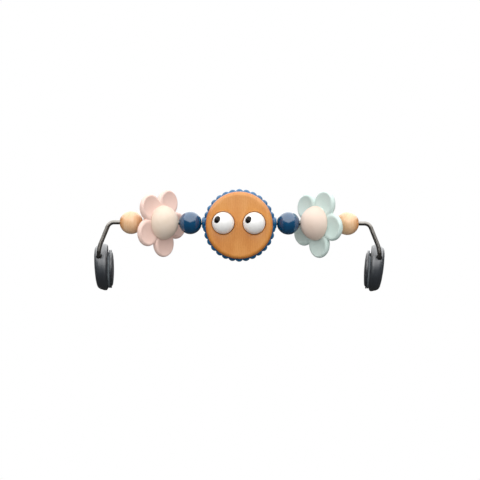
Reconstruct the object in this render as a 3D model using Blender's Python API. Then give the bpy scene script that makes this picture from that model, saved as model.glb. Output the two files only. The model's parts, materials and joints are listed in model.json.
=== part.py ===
"""Bouncer toy bar: a bent rod with a spinning face, two flowers, four beads and two sprung clips.

Metres, +Z up. X runs along the bar and the face looks towards -Y. The origin lies midway between
the centres of the two round clips, where the sides of a bouncer's seat carry them.
"""

import math

import bmesh
import bpy
from mathutils import Matrix, Vector

# Fits shared by all pieces

CLEARANCE = 0.0003
OVERRUN = 0.004
MERGE_DISTANCE = 0.000001
RIGHT_ANGLE = math.pi / 2
FULL_TURN = math.tau
SMOOTH_ANGLE = math.radians(35)

# Rod

ROD_DIAMETER = 0.0055
ROD_BEVEL_RESOLUTION = 2
SHOULDER_LENGTH = 0.0134
SHOULDER_RADIUS = 0.009
LEG_LEAN = math.radians(21.6)
LEG_DROP = 0.0300
FOOT_LEAN = math.radians(9.8)
FOOT_DROP = 0.0098
KNEE_RADIUS = 0.030
ANKLE_RADIUS = 0.0065
BEND_STEPS = 6
KNEE_STEPS = 2

# Beads on the rod

BLUE_BEAD_DIAMETER = 0.0298
END_BEAD_DIAMETER = 0.0301
BEAD_STEPS = 20
BEAD_ARC_STEPS = 8

# Flowers

BALL_DIAMETER = 0.0456
BALL_STEPS = 22
DOME_ARC_STEPS = 5
PETAL_COUNT = 5
PETAL_RADIUS = 0.0175
PETAL_CENTRE = 0.0275
PETAL_THICKNESS = 0.0076
DISH_CENTRE = 0.0315
DISH_RADIUS = 0.0125
DISH_DEPTH = 0.0019
PETAL_POINTS = 10
PETAL_HUB_SHARE = 0.88
PETAL_RING_SHARES = (0.0, 0.38, 0.72, 0.92, 1.0)
FLOWER_TURN = math.radians(48)
FLOWER_PHASES = {-1: math.radians(64.5), 1: math.radians(61.0)}
SLEEVE_WALL = 0.0012
SLEEVE_STEPS = 12

# Head

HEAD_DROP = 0.0032
HEAD_STEPS = 36
CORE_THICKNESS = 0.016
CORE_RADIUS = 0.0469
CORE_EDGE = 0.0010
SCALLOP_COUNT = 30
SCALLOP_RADIUS = 0.0056
SCALLOP_POINTS = 4
BOSS_PROUD = 0.0011
BOSS_SHARE = 0.98
BOSS_EDGE = 0.0025
BOSS_ROOT_SHARE = 0.85
BOSS_STEPS = 16
DISC_RADIUS = 0.0432
FACE_THICKNESS = 0.014
BACK_THICKNESS = 0.016
DISC_EDGE = 0.0050
DISC_BACK_CHAMFER = 0.0008
EDGE_STEPS = 3

# Eyes

EYE_RADIUS = 0.0141
EYE_SPACING = 0.0397
EYE_SHIFT = -0.0008
EYE_RISE = 0.0028
EYE_STEPS = 22
EYE_ARC_STEPS = 5
EYE_CHAMFER = 0.0008
SOCKET_GAP = 0.0007
SOCKET_DEPTH = 0.0060
SOCKET_EDGE = 0.0016
PUPIL_RADIUS = 0.0047
PUPIL_DEPTH = 0.0030
PUPIL_PROUD = 0.0001
PUPIL_STEPS = 16
PUPIL_ARC_STEPS = 2
GAZE_ANGLE = math.radians(41)
GAZE_DIRECTION = math.radians(151.5)
EYE_PIN_RADIUS = 0.0016
EYE_PIN_GRIP = 0.0070
EYE_PIN_HEAD_RADIUS = 0.0030
EYE_PIN_HEAD = 0.0012
EYE_WASHER_RADIUS = 0.0052
EYE_WASHER_THICKNESS = 0.0012
COUNTERBORE_DEPTH = 0.0035
SMALL_STEPS = 10

# Clip housings

CLIP_RADIUS = 0.0306
CLIP_STEPS = 30
CLIP_THICKNESS = 0.0174
CLIP_TAPER = math.radians(3.3)
CLIP_LEANS = {-1: math.radians(0.8), 1: math.radians(4.4)}
SLOT_EDGE = 0.0032
SLOT_EDGE_STEPS = 3
# Each pair is a share of the clip's radius and the drop of its domed outer face there.
DOME_RADIUS_SHARES = (1.0, 0.970, 0.941, 0.902, 0.856, 0.74)
DOME_DROPS = (0.0134, 0.0095, 0.0065, 0.0045, 0.0030, 0.0017)
DOME_MIDDLE_SHARE = 0.5
DOME_MIDDLE_DROP = 0.0007
SLOT_WALL = 0.0034
COVER_RADIUS_SHARE = DOME_RADIUS_SHARES[-1]
COVER_WALL = 0.0016
ROOT_DEPTH = 0.0014
COVER_ROOT_DEPTH = 0.0006
LEDGE_WIDTH = 0.0018
POST_RADIUS = 0.0032
POST_ACROSS_SHARE = 0.38
POST_DROP_SHARE = 0.41
SCREW_RADIUS = 0.0012
SCREW_HEAD_RADIUS = 0.0024
SCREW_HEAD = 0.0012
SCREW_LENGTH = 0.0100

# Swivel of a clip on the rod's stub

STUB_TILT = math.radians(30)
STUB_REACH = 0.0060
STUB_PLACE = 0.0104
BUSH_WALL = 0.0006
BUSH_INSET = 0.0042
FLANGE_WIDTH = 0.0007
FLANGE_THICKNESS = 0.0013
RING_WIDTH = 0.0012
RING_THICKNESS = 0.0008
STUB_PAST_RING = 0.0010

# Jaw with its hinge, spring and pads

SLOT_GAP = 0.0021
JAW_MARGIN = 0.0055
JAW_DROP = 0.0025
JAW_THICKNESS = 0.0015
JAW_EDGE = 0.0004
CAP_RADIUS_SHARE = 0.88
CAP_EDGE = 0.0013
CAP_RISE = 0.0030
# Each pair is a share of the cap's radius and the share of its dome's height lost there.
CAP_DOME = ((0.4, 0.14), (0.74, 0.48), (1.0, 1.0))
PAD_THICKNESS = 0.0009
PAD_INSET = 0.0003
BODY_PAD_RADIUS_SHARE = 0.557
BODY_PAD_DROP_SHARE = 0.295
HINGE_MARGIN = 0.0060
HINGE_PLACE = 0.0066
HINGE_PIN_RADIUS = 0.0013
BARREL_RADIUS = 0.0030
BARREL_WIDTH = 0.0100
ARM_THICKNESS = 0.0048
TAIL_THICKNESS = 0.0026
TAIL_REACH = 0.0078
LUG_THICKNESS = 0.0030
LUG_GAP = 0.0006
LUG_MARGIN = 0.0020
WINDOW_GAP = 0.0008
WINDOW_ABOVE = 0.0034
RIB_WIDTH = 0.0020
SPRING_RADIUS = 0.0026
SPRING_WIRE = 0.0007
SPRING_PLACE = 0.0048
SPRING_LENGTH = 0.0135
SPRING_TURNS = 5
SPRING_TURN_POINTS = 8
SPRING_BEVEL_RESOLUTION = 0
SEAT_THICKNESS = 0.0030
SEAT_MARGIN = 0.0004

# Finishes: sRGB colour, roughness and metallic value

FINISHES = {
    "rod_steel": ((0.44, 0.41, 0.38), 0.35, 1.0),
    "lacquered_wood": ((0.91, 0.76, 0.58), 0.25, 0.0),
    "oiled_wood": ((0.82, 0.57, 0.33), 0.45, 0.0),
    "blue_paint": ((0.11, 0.29, 0.49), 0.25, 0.0),
    "blue_plastic": ((0.12, 0.31, 0.50), 0.40, 0.0),
    "pink_plastic": ((0.92, 0.78, 0.73), 0.45, 0.0),
    "mint_plastic": ((0.77, 0.86, 0.83), 0.45, 0.0),
    "cream_plastic": ((0.91, 0.84, 0.77), 0.40, 0.0),
    "white_plastic": ((0.93, 0.93, 0.92), 0.30, 0.0),
    "black_plastic": ((0.08, 0.07, 0.07), 0.25, 0.0),
    "slate_plastic": ((0.38, 0.42, 0.46), 0.45, 0.0),
    "grey_rubber": ((0.30, 0.33, 0.36), 0.70, 0.0),
    "bright_steel": ((0.72, 0.72, 0.72), 0.30, 1.0),
    "nylon": ((0.16, 0.16, 0.17), 0.50, 0.0),
}

# Places that follow from the sizes

ROD_RADIUS = ROD_DIAMETER / 2
BORE_RADIUS = ROD_RADIUS + CLEARANCE
BLUE_BEAD_RADIUS = BLUE_BEAD_DIAMETER / 2
END_BEAD_RADIUS = END_BEAD_DIAMETER / 2
BALL_RADIUS = BALL_DIAMETER / 2
HEAD_REACH = CORE_RADIUS + BOSS_PROUD
BLUE_BEAD_X = HEAD_REACH + CLEARANCE + BLUE_BEAD_RADIUS
FLOWER_X = BLUE_BEAD_X + BLUE_BEAD_RADIUS + CLEARANCE + BALL_RADIUS
END_BEAD_X = FLOWER_X + BALL_RADIUS + CLEARANCE + END_BEAD_RADIUS
SHOULDER_X = END_BEAD_X + END_BEAD_RADIUS + SHOULDER_LENGTH
KNEE_X = SHOULDER_X + LEG_DROP * math.tan(LEG_LEAN)
CLIP_X = KNEE_X + FOOT_DROP * math.tan(FOOT_LEAN)
STUB_AXIS = Vector((0.0, math.cos(STUB_TILT), -math.sin(STUB_TILT)))
ANKLE = -(CLIP_RADIUS + STUB_REACH) * STUB_AXIS
ROD_Y = ANKLE.y
KNEE_Z = ANKLE.z + FOOT_DROP
ROD_Z = KNEE_Z + LEG_DROP
FACE_BACK = -(CORE_THICKNESS / 2 + CLEARANCE)
FACE_FRONT = FACE_BACK - FACE_THICKNESS
COVER_RADIUS = CLIP_RADIUS * COVER_RADIUS_SHARE
CAVITY_RADIUS = COVER_RADIUS - LEDGE_WIDTH
POST_ACROSS = CLIP_RADIUS * POST_ACROSS_SHARE
POST_DROP = CLIP_RADIUS * POST_DROP_SHARE
JAW_RADIUS = CLIP_RADIUS - JAW_MARGIN
BODY_PAD_RADIUS = CLIP_RADIUS * BODY_PAD_RADIUS_SHARE
BODY_PAD_DROP = CLIP_RADIUS * BODY_PAD_DROP_SHARE
HINGE_RISE = JAW_RADIUS - JAW_DROP - HINGE_MARGIN
PAD_BED = PAD_THICKNESS + CLEARANCE
JAW_PAD_BACK = -(SLOT_GAP + PAD_THICKNESS)
JAW_FRONT = JAW_PAD_BACK - CLEARANCE
JAW_BACK = JAW_FRONT - JAW_THICKNESS
BUSH_RADIUS = BORE_RADIUS + BUSH_WALL
BUSH_BORE = BUSH_RADIUS + CLEARANCE
BUSH_START = CLIP_RADIUS - BUSH_INSET
FLANGE_START = math.sqrt(CAVITY_RADIUS**2 - (BUSH_RADIUS + FLANGE_WIDTH) ** 2) - CLEARANCE
BUSH_END = FLANGE_START - FLANGE_THICKNESS
RING_START = BUSH_END - CLEARANCE
RING_END = RING_START - RING_THICKNESS
STUB_END = RING_END - STUB_PAST_RING
SPRING_TOP = HINGE_RISE - BARREL_RADIUS - CLEARANCE
SPRING_FOOT = SPRING_TOP - SPRING_LENGTH
SEAT_TOP = SPRING_FOOT - CLEARANCE
SPRING_U = HINGE_PLACE + SPRING_PLACE

SIDE_NAMES = {-1: "left", 1: "right"}
AXES = {
    "x": Matrix.Rotation(RIGHT_ANGLE, 4, "Y"),
    "y": Matrix.Rotation(-RIGHT_ANGLE, 4, "X"),
    "z": Matrix.Identity(4),
}


# Shapes

def arc(centre, radius, start, end, steps):
    """Points (along, out) on a circle round (along, out) centre, from one angle to another."""
    angles = [start + (end - start) * step / steps for step in range(steps + 1)]
    return [(centre[0] + radius * math.cos(a), centre[1] + radius * math.sin(a)) for a in angles]


def turned(outline, steps, axis="z"):
    """Closed body that an outline of (along, radius) points sweeps round an axis."""
    made = bmesh.new()
    ring = [made.verts.new((radius, 0.0, along)) for along, radius in outline]
    pairs = list(zip(ring, ring[1:]))
    if outline[0][1] > 0.0:
        pairs.append((ring[-1], ring[0]))
    edges = [made.edges.new(pair) for pair in pairs]
    bmesh.ops.spin(
        made,
        geom=ring + edges,
        cent=(0.0, 0.0, 0.0),
        axis=(0.0, 0.0, 1.0),
        angle=FULL_TURN,
        steps=steps,
    )
    bmesh.ops.remove_doubles(made, verts=made.verts, dist=MERGE_DISTANCE)
    made.transform(AXES[axis])
    return made


def cylinder(radius, start, end, steps, axis="z"):
    """Plain cylinder on an axis between two places along it."""
    return turned([(start, 0.0), (start, radius), (end, radius), (end, 0.0)], steps, axis)


def block(low, high):
    """Box between two corners."""
    made = bmesh.new()
    low, high = Vector(low), Vector(high)
    stretch = Matrix.Diagonal((*(high - low), 1.0))
    bmesh.ops.create_cube(made, size=1.0, matrix=Matrix.Translation((low + high) / 2) @ stretch)
    return made


def lofted(rings):
    """Closed body through rings of equally many points, capped at both ends."""
    made = bmesh.new()
    loops = [[made.verts.new(point) for point in ring] for ring in rings]
    count = len(loops[0])
    for first, second in zip(loops, loops[1:]):
        for index in range(count):
            after = (index + 1) % count
            made.faces.new((first[index], first[after], second[after], second[index]))
    made.faces.new(loops[0])
    made.faces.new(loops[-1])
    return made


def moved(made, *steps):
    """The same body after each of the given matrices, the first one first."""
    for step in steps:
        made.transform(step)
    return made


def shifted(made, x=0.0, y=0.0, z=0.0):
    return moved(made, Matrix.Translation((x, y, z)))


def gathered(*bodies):
    """One bmesh that holds several separate bodies."""
    whole = bmesh.new()
    for body in bodies:
        scratch = bpy.data.meshes.new("scratch")
        body.to_mesh(scratch)
        whole.from_mesh(scratch)
        bpy.data.meshes.remove(scratch)
        body.free()
    return whole


# Objects

def linear(value):
    return value / 12.92 if value <= 0.04045 else ((value + 0.055) / 1.055) ** 2.4


def finish_material(name, finish):
    """A material of its own for one piece."""
    colour, roughness, metallic = FINISHES[finish]
    made = bpy.data.materials.new(f"{name}_{finish}")
    made.use_nodes = True
    shader = made.node_tree.nodes["Principled BSDF"]
    shader.inputs["Base Color"].default_value = (*(linear(part) for part in colour), 1.0)
    shader.inputs["Roughness"].default_value = roughness
    shader.inputs["Metallic"].default_value = metallic
    return made


def mesh_object(name, made, parent, mirrored=False):
    """Object for a bmesh, with its faces pointing out."""
    if mirrored:
        made.transform(Matrix.Scale(-1.0, 4, (1.0, 0.0, 0.0)))
    made.normal_update()
    bmesh.ops.recalc_face_normals(made, faces=made.faces)
    mesh = bpy.data.meshes.new(name)
    made.to_mesh(mesh)
    made.free()
    mesh.shade_smooth()
    mesh.set_sharp_from_angle(angle=SMOOTH_ANGLE)
    thing = bpy.data.objects.new(name, mesh)
    bpy.context.scene.collection.objects.link(thing)
    thing.parent = parent
    return thing


def piece(name, made, finish, parent, mirrored=False, join=None, cut=None):
    """A named piece, with one more body joined to it and others cut out of it."""
    thing = mesh_object(name, made, parent, mirrored)
    thing.data.materials.append(finish_material(name, finish))
    for tools, operation in ((join or [], "UNION"), (cut or [], "DIFFERENCE")):
        for number, tool in enumerate(tools):
            guide = mesh_object(f"{name}_{operation.lower()}_{number}", tool, parent, mirrored)
            guide.hide_render = True
            guide.display_type = "WIRE"
            modifier = thing.modifiers.new(guide.name, "BOOLEAN")
            modifier.operation = operation
            modifier.solver = "EXACT"
            modifier.object = guide
    return thing


def frame(name, place, turn=None, parent=None):
    """Empty that carries the pieces of one moving body."""
    made = bpy.data.objects.new(name, None)
    bpy.context.scene.collection.objects.link(made)
    made.parent = parent
    made.matrix_local = Matrix.Translation(place) @ (turn or Matrix.Identity(4))
    return made


# Rod

def bend(corner, before, after, radius, steps):
    """Points of a round bend at a corner, between the points before and after it."""
    back = (before - corner).normalized()
    ahead = (after - corner).normalized()
    half = back.angle(ahead) / 2
    start = corner + back * (radius / math.tan(half))
    centre = corner + (back + ahead).normalized() * (radius / math.sin(half))
    axis = back.cross(ahead)
    sweep = math.pi - half - half
    spoke = start - centre
    return [
        centre + Matrix.Rotation(-sweep * step / steps, 3, axis) @ spoke
        for step in range(steps + 1)
    ]


def rod_half(side):
    """Centre line of one half of the rod, from its middle to the end of its stub."""
    clip = Vector((side * CLIP_X, 0.0, 0.0))
    middle = Vector((0.0, ROD_Y, ROD_Z))
    shoulder = Vector((side * SHOULDER_X, ROD_Y, ROD_Z))
    knee = Vector((side * KNEE_X, ROD_Y, KNEE_Z))
    ankle = clip + ANKLE
    end = clip - STUB_AXIS * STUB_END
    points = [middle]
    points += bend(shoulder, middle, knee, SHOULDER_RADIUS, BEND_STEPS)
    points += bend(knee, shoulder, ankle, KNEE_RADIUS, KNEE_STEPS)
    points += bend(ankle, knee, end, ANKLE_RADIUS, BEND_STEPS)
    points.append(end)
    return points


def build_rod():
    """One wire of round section, swept along its centre line."""
    left = rod_half(-1)
    right = rod_half(1)
    points = left[:0:-1] + right
    curve = bpy.data.curves.new("rod", "CURVE")
    curve.dimensions = "3D"
    curve.bevel_depth = ROD_RADIUS
    curve.bevel_resolution = ROD_BEVEL_RESOLUTION
    curve.use_fill_caps = True
    spline = curve.splines.new("POLY")
    spline.points.add(len(points) - 1)
    for target, point in zip(spline.points, points):
        target.co = (*point, 1.0)
    rod = bpy.data.objects.new("rod", curve)
    bpy.context.scene.collection.objects.link(rod)
    curve.materials.append(finish_material("rod", "rod_steel"))


# Beads

def bead(radius):
    """Ball with a bore along X for the rod."""
    start = math.asin(BORE_RADIUS / radius)
    return turned(arc((0.0, 0.0), radius, math.pi - start, start, BEAD_ARC_STEPS), BEAD_STEPS, "x")


def build_beads(side):
    name = SIDE_NAMES[side]
    end_frame = frame(f"end_bead_frame_{name}", (side * END_BEAD_X, ROD_Y, ROD_Z))
    piece(f"end_bead_{name}", bead(END_BEAD_RADIUS), "lacquered_wood", end_frame)
    blue_frame = frame(f"blue_bead_frame_{name}", (side * BLUE_BEAD_X, ROD_Y, ROD_Z))
    piece(f"blue_bead_{name}", bead(BLUE_BEAD_RADIUS), "blue_paint", blue_frame)


# Flowers

def petal_reach(angle):
    """Distance from the hub to the outline of the nearest petal, seen along one direction."""
    across = PETAL_CENTRE * math.sin(angle)
    return PETAL_CENTRE * math.cos(angle) + math.sqrt(PETAL_RADIUS**2 - across**2)


def petal_height(reach, angle):
    """Half of the thickness at a point given by its distance and direction from a petal's middle."""
    point = Vector((reach * math.cos(angle), reach * math.sin(angle)))
    half = PETAL_THICKNESS / 2
    inside = PETAL_RADIUS - (point - Vector((PETAL_CENTRE, 0.0))).length
    near_hub = reach < PETAL_CENTRE - DISH_RADIUS
    height = half
    if inside < half and not near_hub and reach > PETAL_CENTRE * math.cos(angle):
        height = half * math.sqrt(max(0.0, 1.0 - (1.0 - max(inside, 0.0) / half) ** 2))
    dish = (point - Vector((DISH_CENTRE, 0.0))).length / DISH_RADIUS
    if dish < 1.0:
        height -= DISH_DEPTH * (1.0 - dish**2) ** 2
    return height


def petal_ring(share, face):
    """One ring of the petal disc: face is 1 on its front, -1 on its back."""
    hub = BALL_RADIUS * PETAL_HUB_SHARE
    count = PETAL_COUNT * PETAL_POINTS
    ring = []
    for index in range(count):
        offset = (index + PETAL_POINTS / 2) % PETAL_POINTS - PETAL_POINTS / 2
        off_petal = FULL_TURN * offset / count
        reach = hub + (petal_reach(off_petal) - hub) * share
        height = 0.0 if share == 1.0 else petal_height(reach, off_petal)
        turn = FULL_TURN * index / count
        ring.append((reach * math.cos(turn), reach * math.sin(turn), face * height))
    return ring


def petal_disc():
    """Five dished petals with rounded rims round a flat hub, facing +Z."""
    front = [petal_ring(share, 1) for share in PETAL_RING_SHARES]
    back = [petal_ring(share, -1) for share in PETAL_RING_SHARES[-2::-1]]
    return lofted(front + back)


def half_ball(face):
    """One half of the flower's ball, resting on the petal disc: face is 1 in front, -1 behind."""
    base = PETAL_THICKNESS / 2 + CLEARANCE
    rise = math.asin(base / BALL_RADIUS)
    dome = arc((0.0, 0.0), BALL_RADIUS, RIGHT_ANGLE - rise, 0.0, DOME_ARC_STEPS)[:-1]
    outline = [(base, 0.0)] + dome + [(BALL_RADIUS, 0.0)]
    return turned([(face * along, out) for along, out in outline], BALL_STEPS)


def build_flower(side):
    """Flower that spins on the rod, its disc turned towards the viewer and the face."""
    name = SIDE_NAMES[side]
    carrier = frame(f"flower_frame_{name}", (side * FLOWER_X, ROD_Y, ROD_Z))
    across = Vector((math.cos(FLOWER_TURN), -side * math.sin(FLOWER_TURN), 0.0))
    upward = Vector((0.0, 0.0, 1.0))
    facing = across.cross(upward)
    turn = Matrix((across, upward, facing)).transposed().to_4x4()
    phase = Matrix.Rotation(FLOWER_PHASES[side], 4, "Z")
    sleeve_radius = BORE_RADIUS + SLEEVE_WALL
    bore_radius = sleeve_radius + CLEARANCE
    reach = BALL_RADIUS + OVERRUN

    def bore():
        return cylinder(bore_radius, -reach, reach, SLEEVE_STEPS, "x")

    petals = moved(petal_disc(), phase, turn)
    petal_finish = {-1: "pink_plastic", 1: "mint_plastic"}[side]
    piece(f"petal_disc_{name}", petals, petal_finish, carrier, cut=[bore()])
    for face, place in ((1, "front"), (-1, "back")):
        dome = moved(half_ball(face), turn)
        piece(f"{place}_dome_{name}", dome, "cream_plastic", carrier, cut=[bore()])
    half = math.sqrt(BALL_RADIUS**2 - bore_radius**2)
    outline = [
        (-half, BORE_RADIUS),
        (-half, sleeve_radius),
        (half, sleeve_radius),
        (half, BORE_RADIUS),
    ]
    piece(f"flower_sleeve_{name}", turned(outline, SLEEVE_STEPS, "x"), "nylon", carrier)


# Head

def scallop_ring(y, inset):
    """One ring of the scalloped core, with a scallop at the very top."""
    count = SCALLOP_COUNT * SCALLOP_POINTS
    centre = CORE_RADIUS - SCALLOP_RADIUS
    ring = []
    for index in range(count):
        offset = (index + SCALLOP_POINTS / 2) % SCALLOP_POINTS - SCALLOP_POINTS / 2
        off_peak = FULL_TURN * offset / count
        across = centre * math.sin(off_peak)
        reach = centre * math.cos(off_peak) + math.sqrt(SCALLOP_RADIUS**2 - across**2) - inset
        turn = FULL_TURN * index / count
        ring.append((reach * math.sin(turn), y, reach * math.cos(turn) - HEAD_DROP))
    return ring


def boss(side):
    """Rounded boss at one side of the core, which meets the blue bead."""
    radius = BOSS_SHARE * CORE_THICKNESS / 2
    root = BOSS_ROOT_SHARE * CORE_RADIUS
    corner = (HEAD_REACH - BOSS_EDGE, radius - BOSS_EDGE)
    edge = arc(corner, BOSS_EDGE, RIGHT_ANGLE, 0.0, EDGE_STEPS)
    outline = [(root, 0.0), (root, radius)] + edge + [(HEAD_REACH, 0.0)]
    return turned([(side * along, out) for along, out in outline], BOSS_STEPS, "x")


def disc_outline(back, front):
    """Outline of a wooden disc with a soft outer edge at its front and a chamfer at its back."""
    way = 1.0 if front > back else -1.0
    edge_start = front - way * DISC_EDGE
    edge = [
        (edge_start + way * along, out)
        for along, out in arc((0.0, DISC_RADIUS - DISC_EDGE), DISC_EDGE, RIGHT_ANGLE, 0.0, EDGE_STEPS)
    ]
    chamfer = [
        (back, DISC_RADIUS - DISC_BACK_CHAMFER),
        (back + way * DISC_BACK_CHAMFER, DISC_RADIUS),
    ]
    return [(back, 0.0)] + chamfer + edge + [(front, 0.0)]


def eye_place(side):
    """Eye centre in its head's frame, in the plane of the face's front."""
    x = EYE_SHIFT + side * EYE_SPACING / 2
    return Vector((x, FACE_FRONT, EYE_RISE - HEAD_DROP))


def socket(side):
    """Space for one eye: a socket with a rounded mouth, its pin's hole and a counterbore behind."""
    radius = EYE_RADIUS + SOCKET_GAP
    hole = EYE_PIN_RADIUS + CLEARANCE
    bore = EYE_WASHER_RADIUS + CLEARANCE
    mouth = arc((SOCKET_EDGE, radius + SOCKET_EDGE), SOCKET_EDGE, -RIGHT_ANGLE, -math.pi, 3)
    outline = [
        (FACE_THICKNESS + OVERRUN, 0.0),
        (FACE_THICKNESS + OVERRUN, bore),
        (FACE_THICKNESS - COUNTERBORE_DEPTH, bore),
        (FACE_THICKNESS - COUNTERBORE_DEPTH, hole),
        (SOCKET_DEPTH, hole),
        (SOCKET_DEPTH, radius),
    ]
    outline += mouth
    outline += [(-OVERRUN, radius + SOCKET_EDGE), (-OVERRUN, 0.0)]
    return moved(turned(outline, EYE_STEPS, "y"), Matrix.Translation(eye_place(side)))


def build_eye(side, head_frame):
    """Domed eye that turns in its socket, with its pupil, pin and washer."""
    name = SIDE_NAMES[side]
    carrier = frame(f"eye_frame_{name}", eye_place(side), parent=head_frame)
    back = SOCKET_DEPTH - CLEARANCE
    hole = EYE_PIN_RADIUS + CLEARANCE
    dome = arc((0.0, 0.0), EYE_RADIUS, math.pi, RIGHT_ANGLE, EYE_ARC_STEPS)[1:]
    outline = [(-EYE_RADIUS, 0.0)] + dome
    outline += [
        (back - EYE_CHAMFER, EYE_RADIUS),
        (back, EYE_RADIUS - EYE_CHAMFER),
        (back, hole),
        (back - EYE_PIN_GRIP, hole),
        (back - EYE_PIN_GRIP, 0.0),
    ]
    aside = math.sin(GAZE_ANGLE)
    gaze = Vector((
        aside * math.cos(GAZE_DIRECTION),
        -math.cos(GAZE_ANGLE),
        aside * math.sin(GAZE_DIRECTION),
    ))
    aim = gaze.to_track_quat("Z", "Y").to_matrix().to_4x4()
    floor = EYE_RADIUS - PUPIL_DEPTH
    pocket = cylinder(
        PUPIL_RADIUS + CLEARANCE, floor - CLEARANCE, EYE_RADIUS + OVERRUN, PUPIL_STEPS
    )
    piece(
        f"eye_{name}",
        turned(outline, EYE_STEPS, "y"),
        "white_plastic",
        carrier,
        cut=[moved(pocket, aim)],
    )
    top = EYE_RADIUS + PUPIL_PROUD
    spread = math.asin(PUPIL_RADIUS / top)
    crown = arc((0.0, 0.0), top, spread, 0.0, PUPIL_ARC_STEPS)[:-1]
    pupil = turned([(floor, 0.0), (floor, PUPIL_RADIUS)] + crown + [(top, 0.0)], PUPIL_STEPS)
    piece(f"pupil_{name}", moved(pupil, aim), "black_plastic", carrier)
    washer_front = FACE_THICKNESS - COUNTERBORE_DEPTH + CLEARANCE
    washer_back = washer_front + EYE_WASHER_THICKNESS
    washer = [
        (washer_front, hole),
        (washer_front, EYE_WASHER_RADIUS),
        (washer_back, EYE_WASHER_RADIUS),
        (washer_back, hole),
    ]
    piece(f"eye_washer_{name}", turned(washer, SMALL_STEPS, "y"), "bright_steel", carrier)
    head_start = washer_back + CLEARANCE
    head_end = head_start + EYE_PIN_HEAD
    tip = back - EYE_PIN_GRIP + CLEARANCE
    pin = [
        (tip, 0.0),
        (tip, EYE_PIN_RADIUS),
        (head_start, EYE_PIN_RADIUS),
        (head_start, EYE_PIN_HEAD_RADIUS),
        (head_end, EYE_PIN_HEAD_RADIUS),
        (head_end, 0.0),
    ]
    piece(f"eye_pin_{name}", turned(pin, SMALL_STEPS, "y"), "bright_steel", carrier)


def build_head():
    """Face disc, scalloped core and back disc on the rod, with the two eyes."""
    carrier = frame("head_frame", (0.0, ROD_Y, ROD_Z))
    half = CORE_THICKNESS / 2
    rings = [
        scallop_ring(-half, CORE_EDGE),
        scallop_ring(CORE_EDGE - half, 0.0),
        scallop_ring(half - CORE_EDGE, 0.0),
        scallop_ring(half, CORE_EDGE),
    ]
    reach = HEAD_REACH + OVERRUN
    bore = cylinder(BORE_RADIUS, -reach, reach, SLEEVE_STEPS, "x")
    piece(
        "scalloped_core",
        lofted(rings),
        "blue_plastic",
        carrier,
        join=[gathered(boss(-1), boss(1))],
        cut=[bore],
    )
    face = shifted(turned(disc_outline(FACE_BACK, FACE_FRONT), HEAD_STEPS, "y"), z=-HEAD_DROP)
    piece("face_disc", face, "oiled_wood", carrier, cut=[gathered(socket(-1), socket(1))])
    back = disc_outline(-FACE_BACK, -FACE_BACK + BACK_THICKNESS)
    back_disc = shifted(turned(back, HEAD_STEPS, "y"), z=-HEAD_DROP)
    piece("back_disc", back_disc, "oiled_wood", carrier)
    for side in SIDE_NAMES:
        build_eye(side, carrier)


# Clips
# Each is drawn as the right-hand one and mirrored for the left. Its frame lies on the stub's axis
# at the clip's centre. Places along X are measured from the slot face, as u, towards the outside.

def from_slot(u):
    return u - STUB_PLACE


def dome_outline(drop=0.0, limit=1.0):
    """Outer face's (u, radius) points from the rim inwards, within a share of the radius."""
    outline = [
        (CLIP_THICKNESS - fall - drop, CLIP_RADIUS * share)
        for share, fall in zip(DOME_RADIUS_SHARES, DOME_DROPS)
        if share <= limit
    ]
    middle = (CLIP_THICKNESS - DOME_MIDDLE_DROP - drop, CLIP_RADIUS * DOME_MIDDLE_SHARE)
    return outline + [middle, (CLIP_THICKNESS - drop, 0.0)]


def clip_turned(outline, steps=CLIP_STEPS):
    """Body turned round the clip's axis, its outer side leaning by the housing's taper."""
    made = turned([(from_slot(u), out) for u, out in outline], steps, "x")
    for vert in made.verts:
        u = vert.co.x + STUB_PLACE
        vert.co.x += u / CLIP_THICKNESS * vert.co.z * math.tan(CLIP_TAPER)
    return made


def clip_block(u_range, half_width, z_range, y=0.0):
    """Block in a clip, from its span in u, its half width and its span in height."""
    return block(
        (from_slot(u_range[0]), y - half_width, z_range[0]),
        (from_slot(u_range[1]), y + half_width, z_range[1]),
    )


def clip_cylinder(radius, u_start, u_end, y=0.0, z=0.0, steps=SMALL_STEPS):
    """Cylinder along the clip's axis, turned by half a step so that no corner meets a seam."""
    made = cylinder(radius, from_slot(u_start), from_slot(u_end), steps, "x")
    half_step = Matrix.Rotation(FULL_TURN / steps / 2, 4, "X")
    return shifted(moved(made, half_step), y=y, z=z)


def stub_turned(outline):
    """Body turned round the stub's axis, from its distance out from the clip's centre."""
    half_step = Matrix.Rotation(FULL_TURN / SLEEVE_STEPS / 2, 4, "Z")
    aim = (-STUB_AXIS).to_track_quat("Z", "Y").to_matrix().to_4x4()
    return moved(turned(outline, SLEEVE_STEPS), half_step, aim)


def window():
    """Opening in the slot wall and the pads, through which the jaw's arm swings."""
    low = HINGE_RISE - ARM_THICKNESS / 2 - WINDOW_GAP
    high = HINGE_RISE + ARM_THICKNESS / 2 + WINDOW_ABOVE
    half = BARREL_WIDTH / 2 + CLEARANCE
    return half, low, high


def lug_middle():
    return BARREL_WIDTH / 2 + LUG_GAP + LUG_THICKNESS / 2


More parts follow.
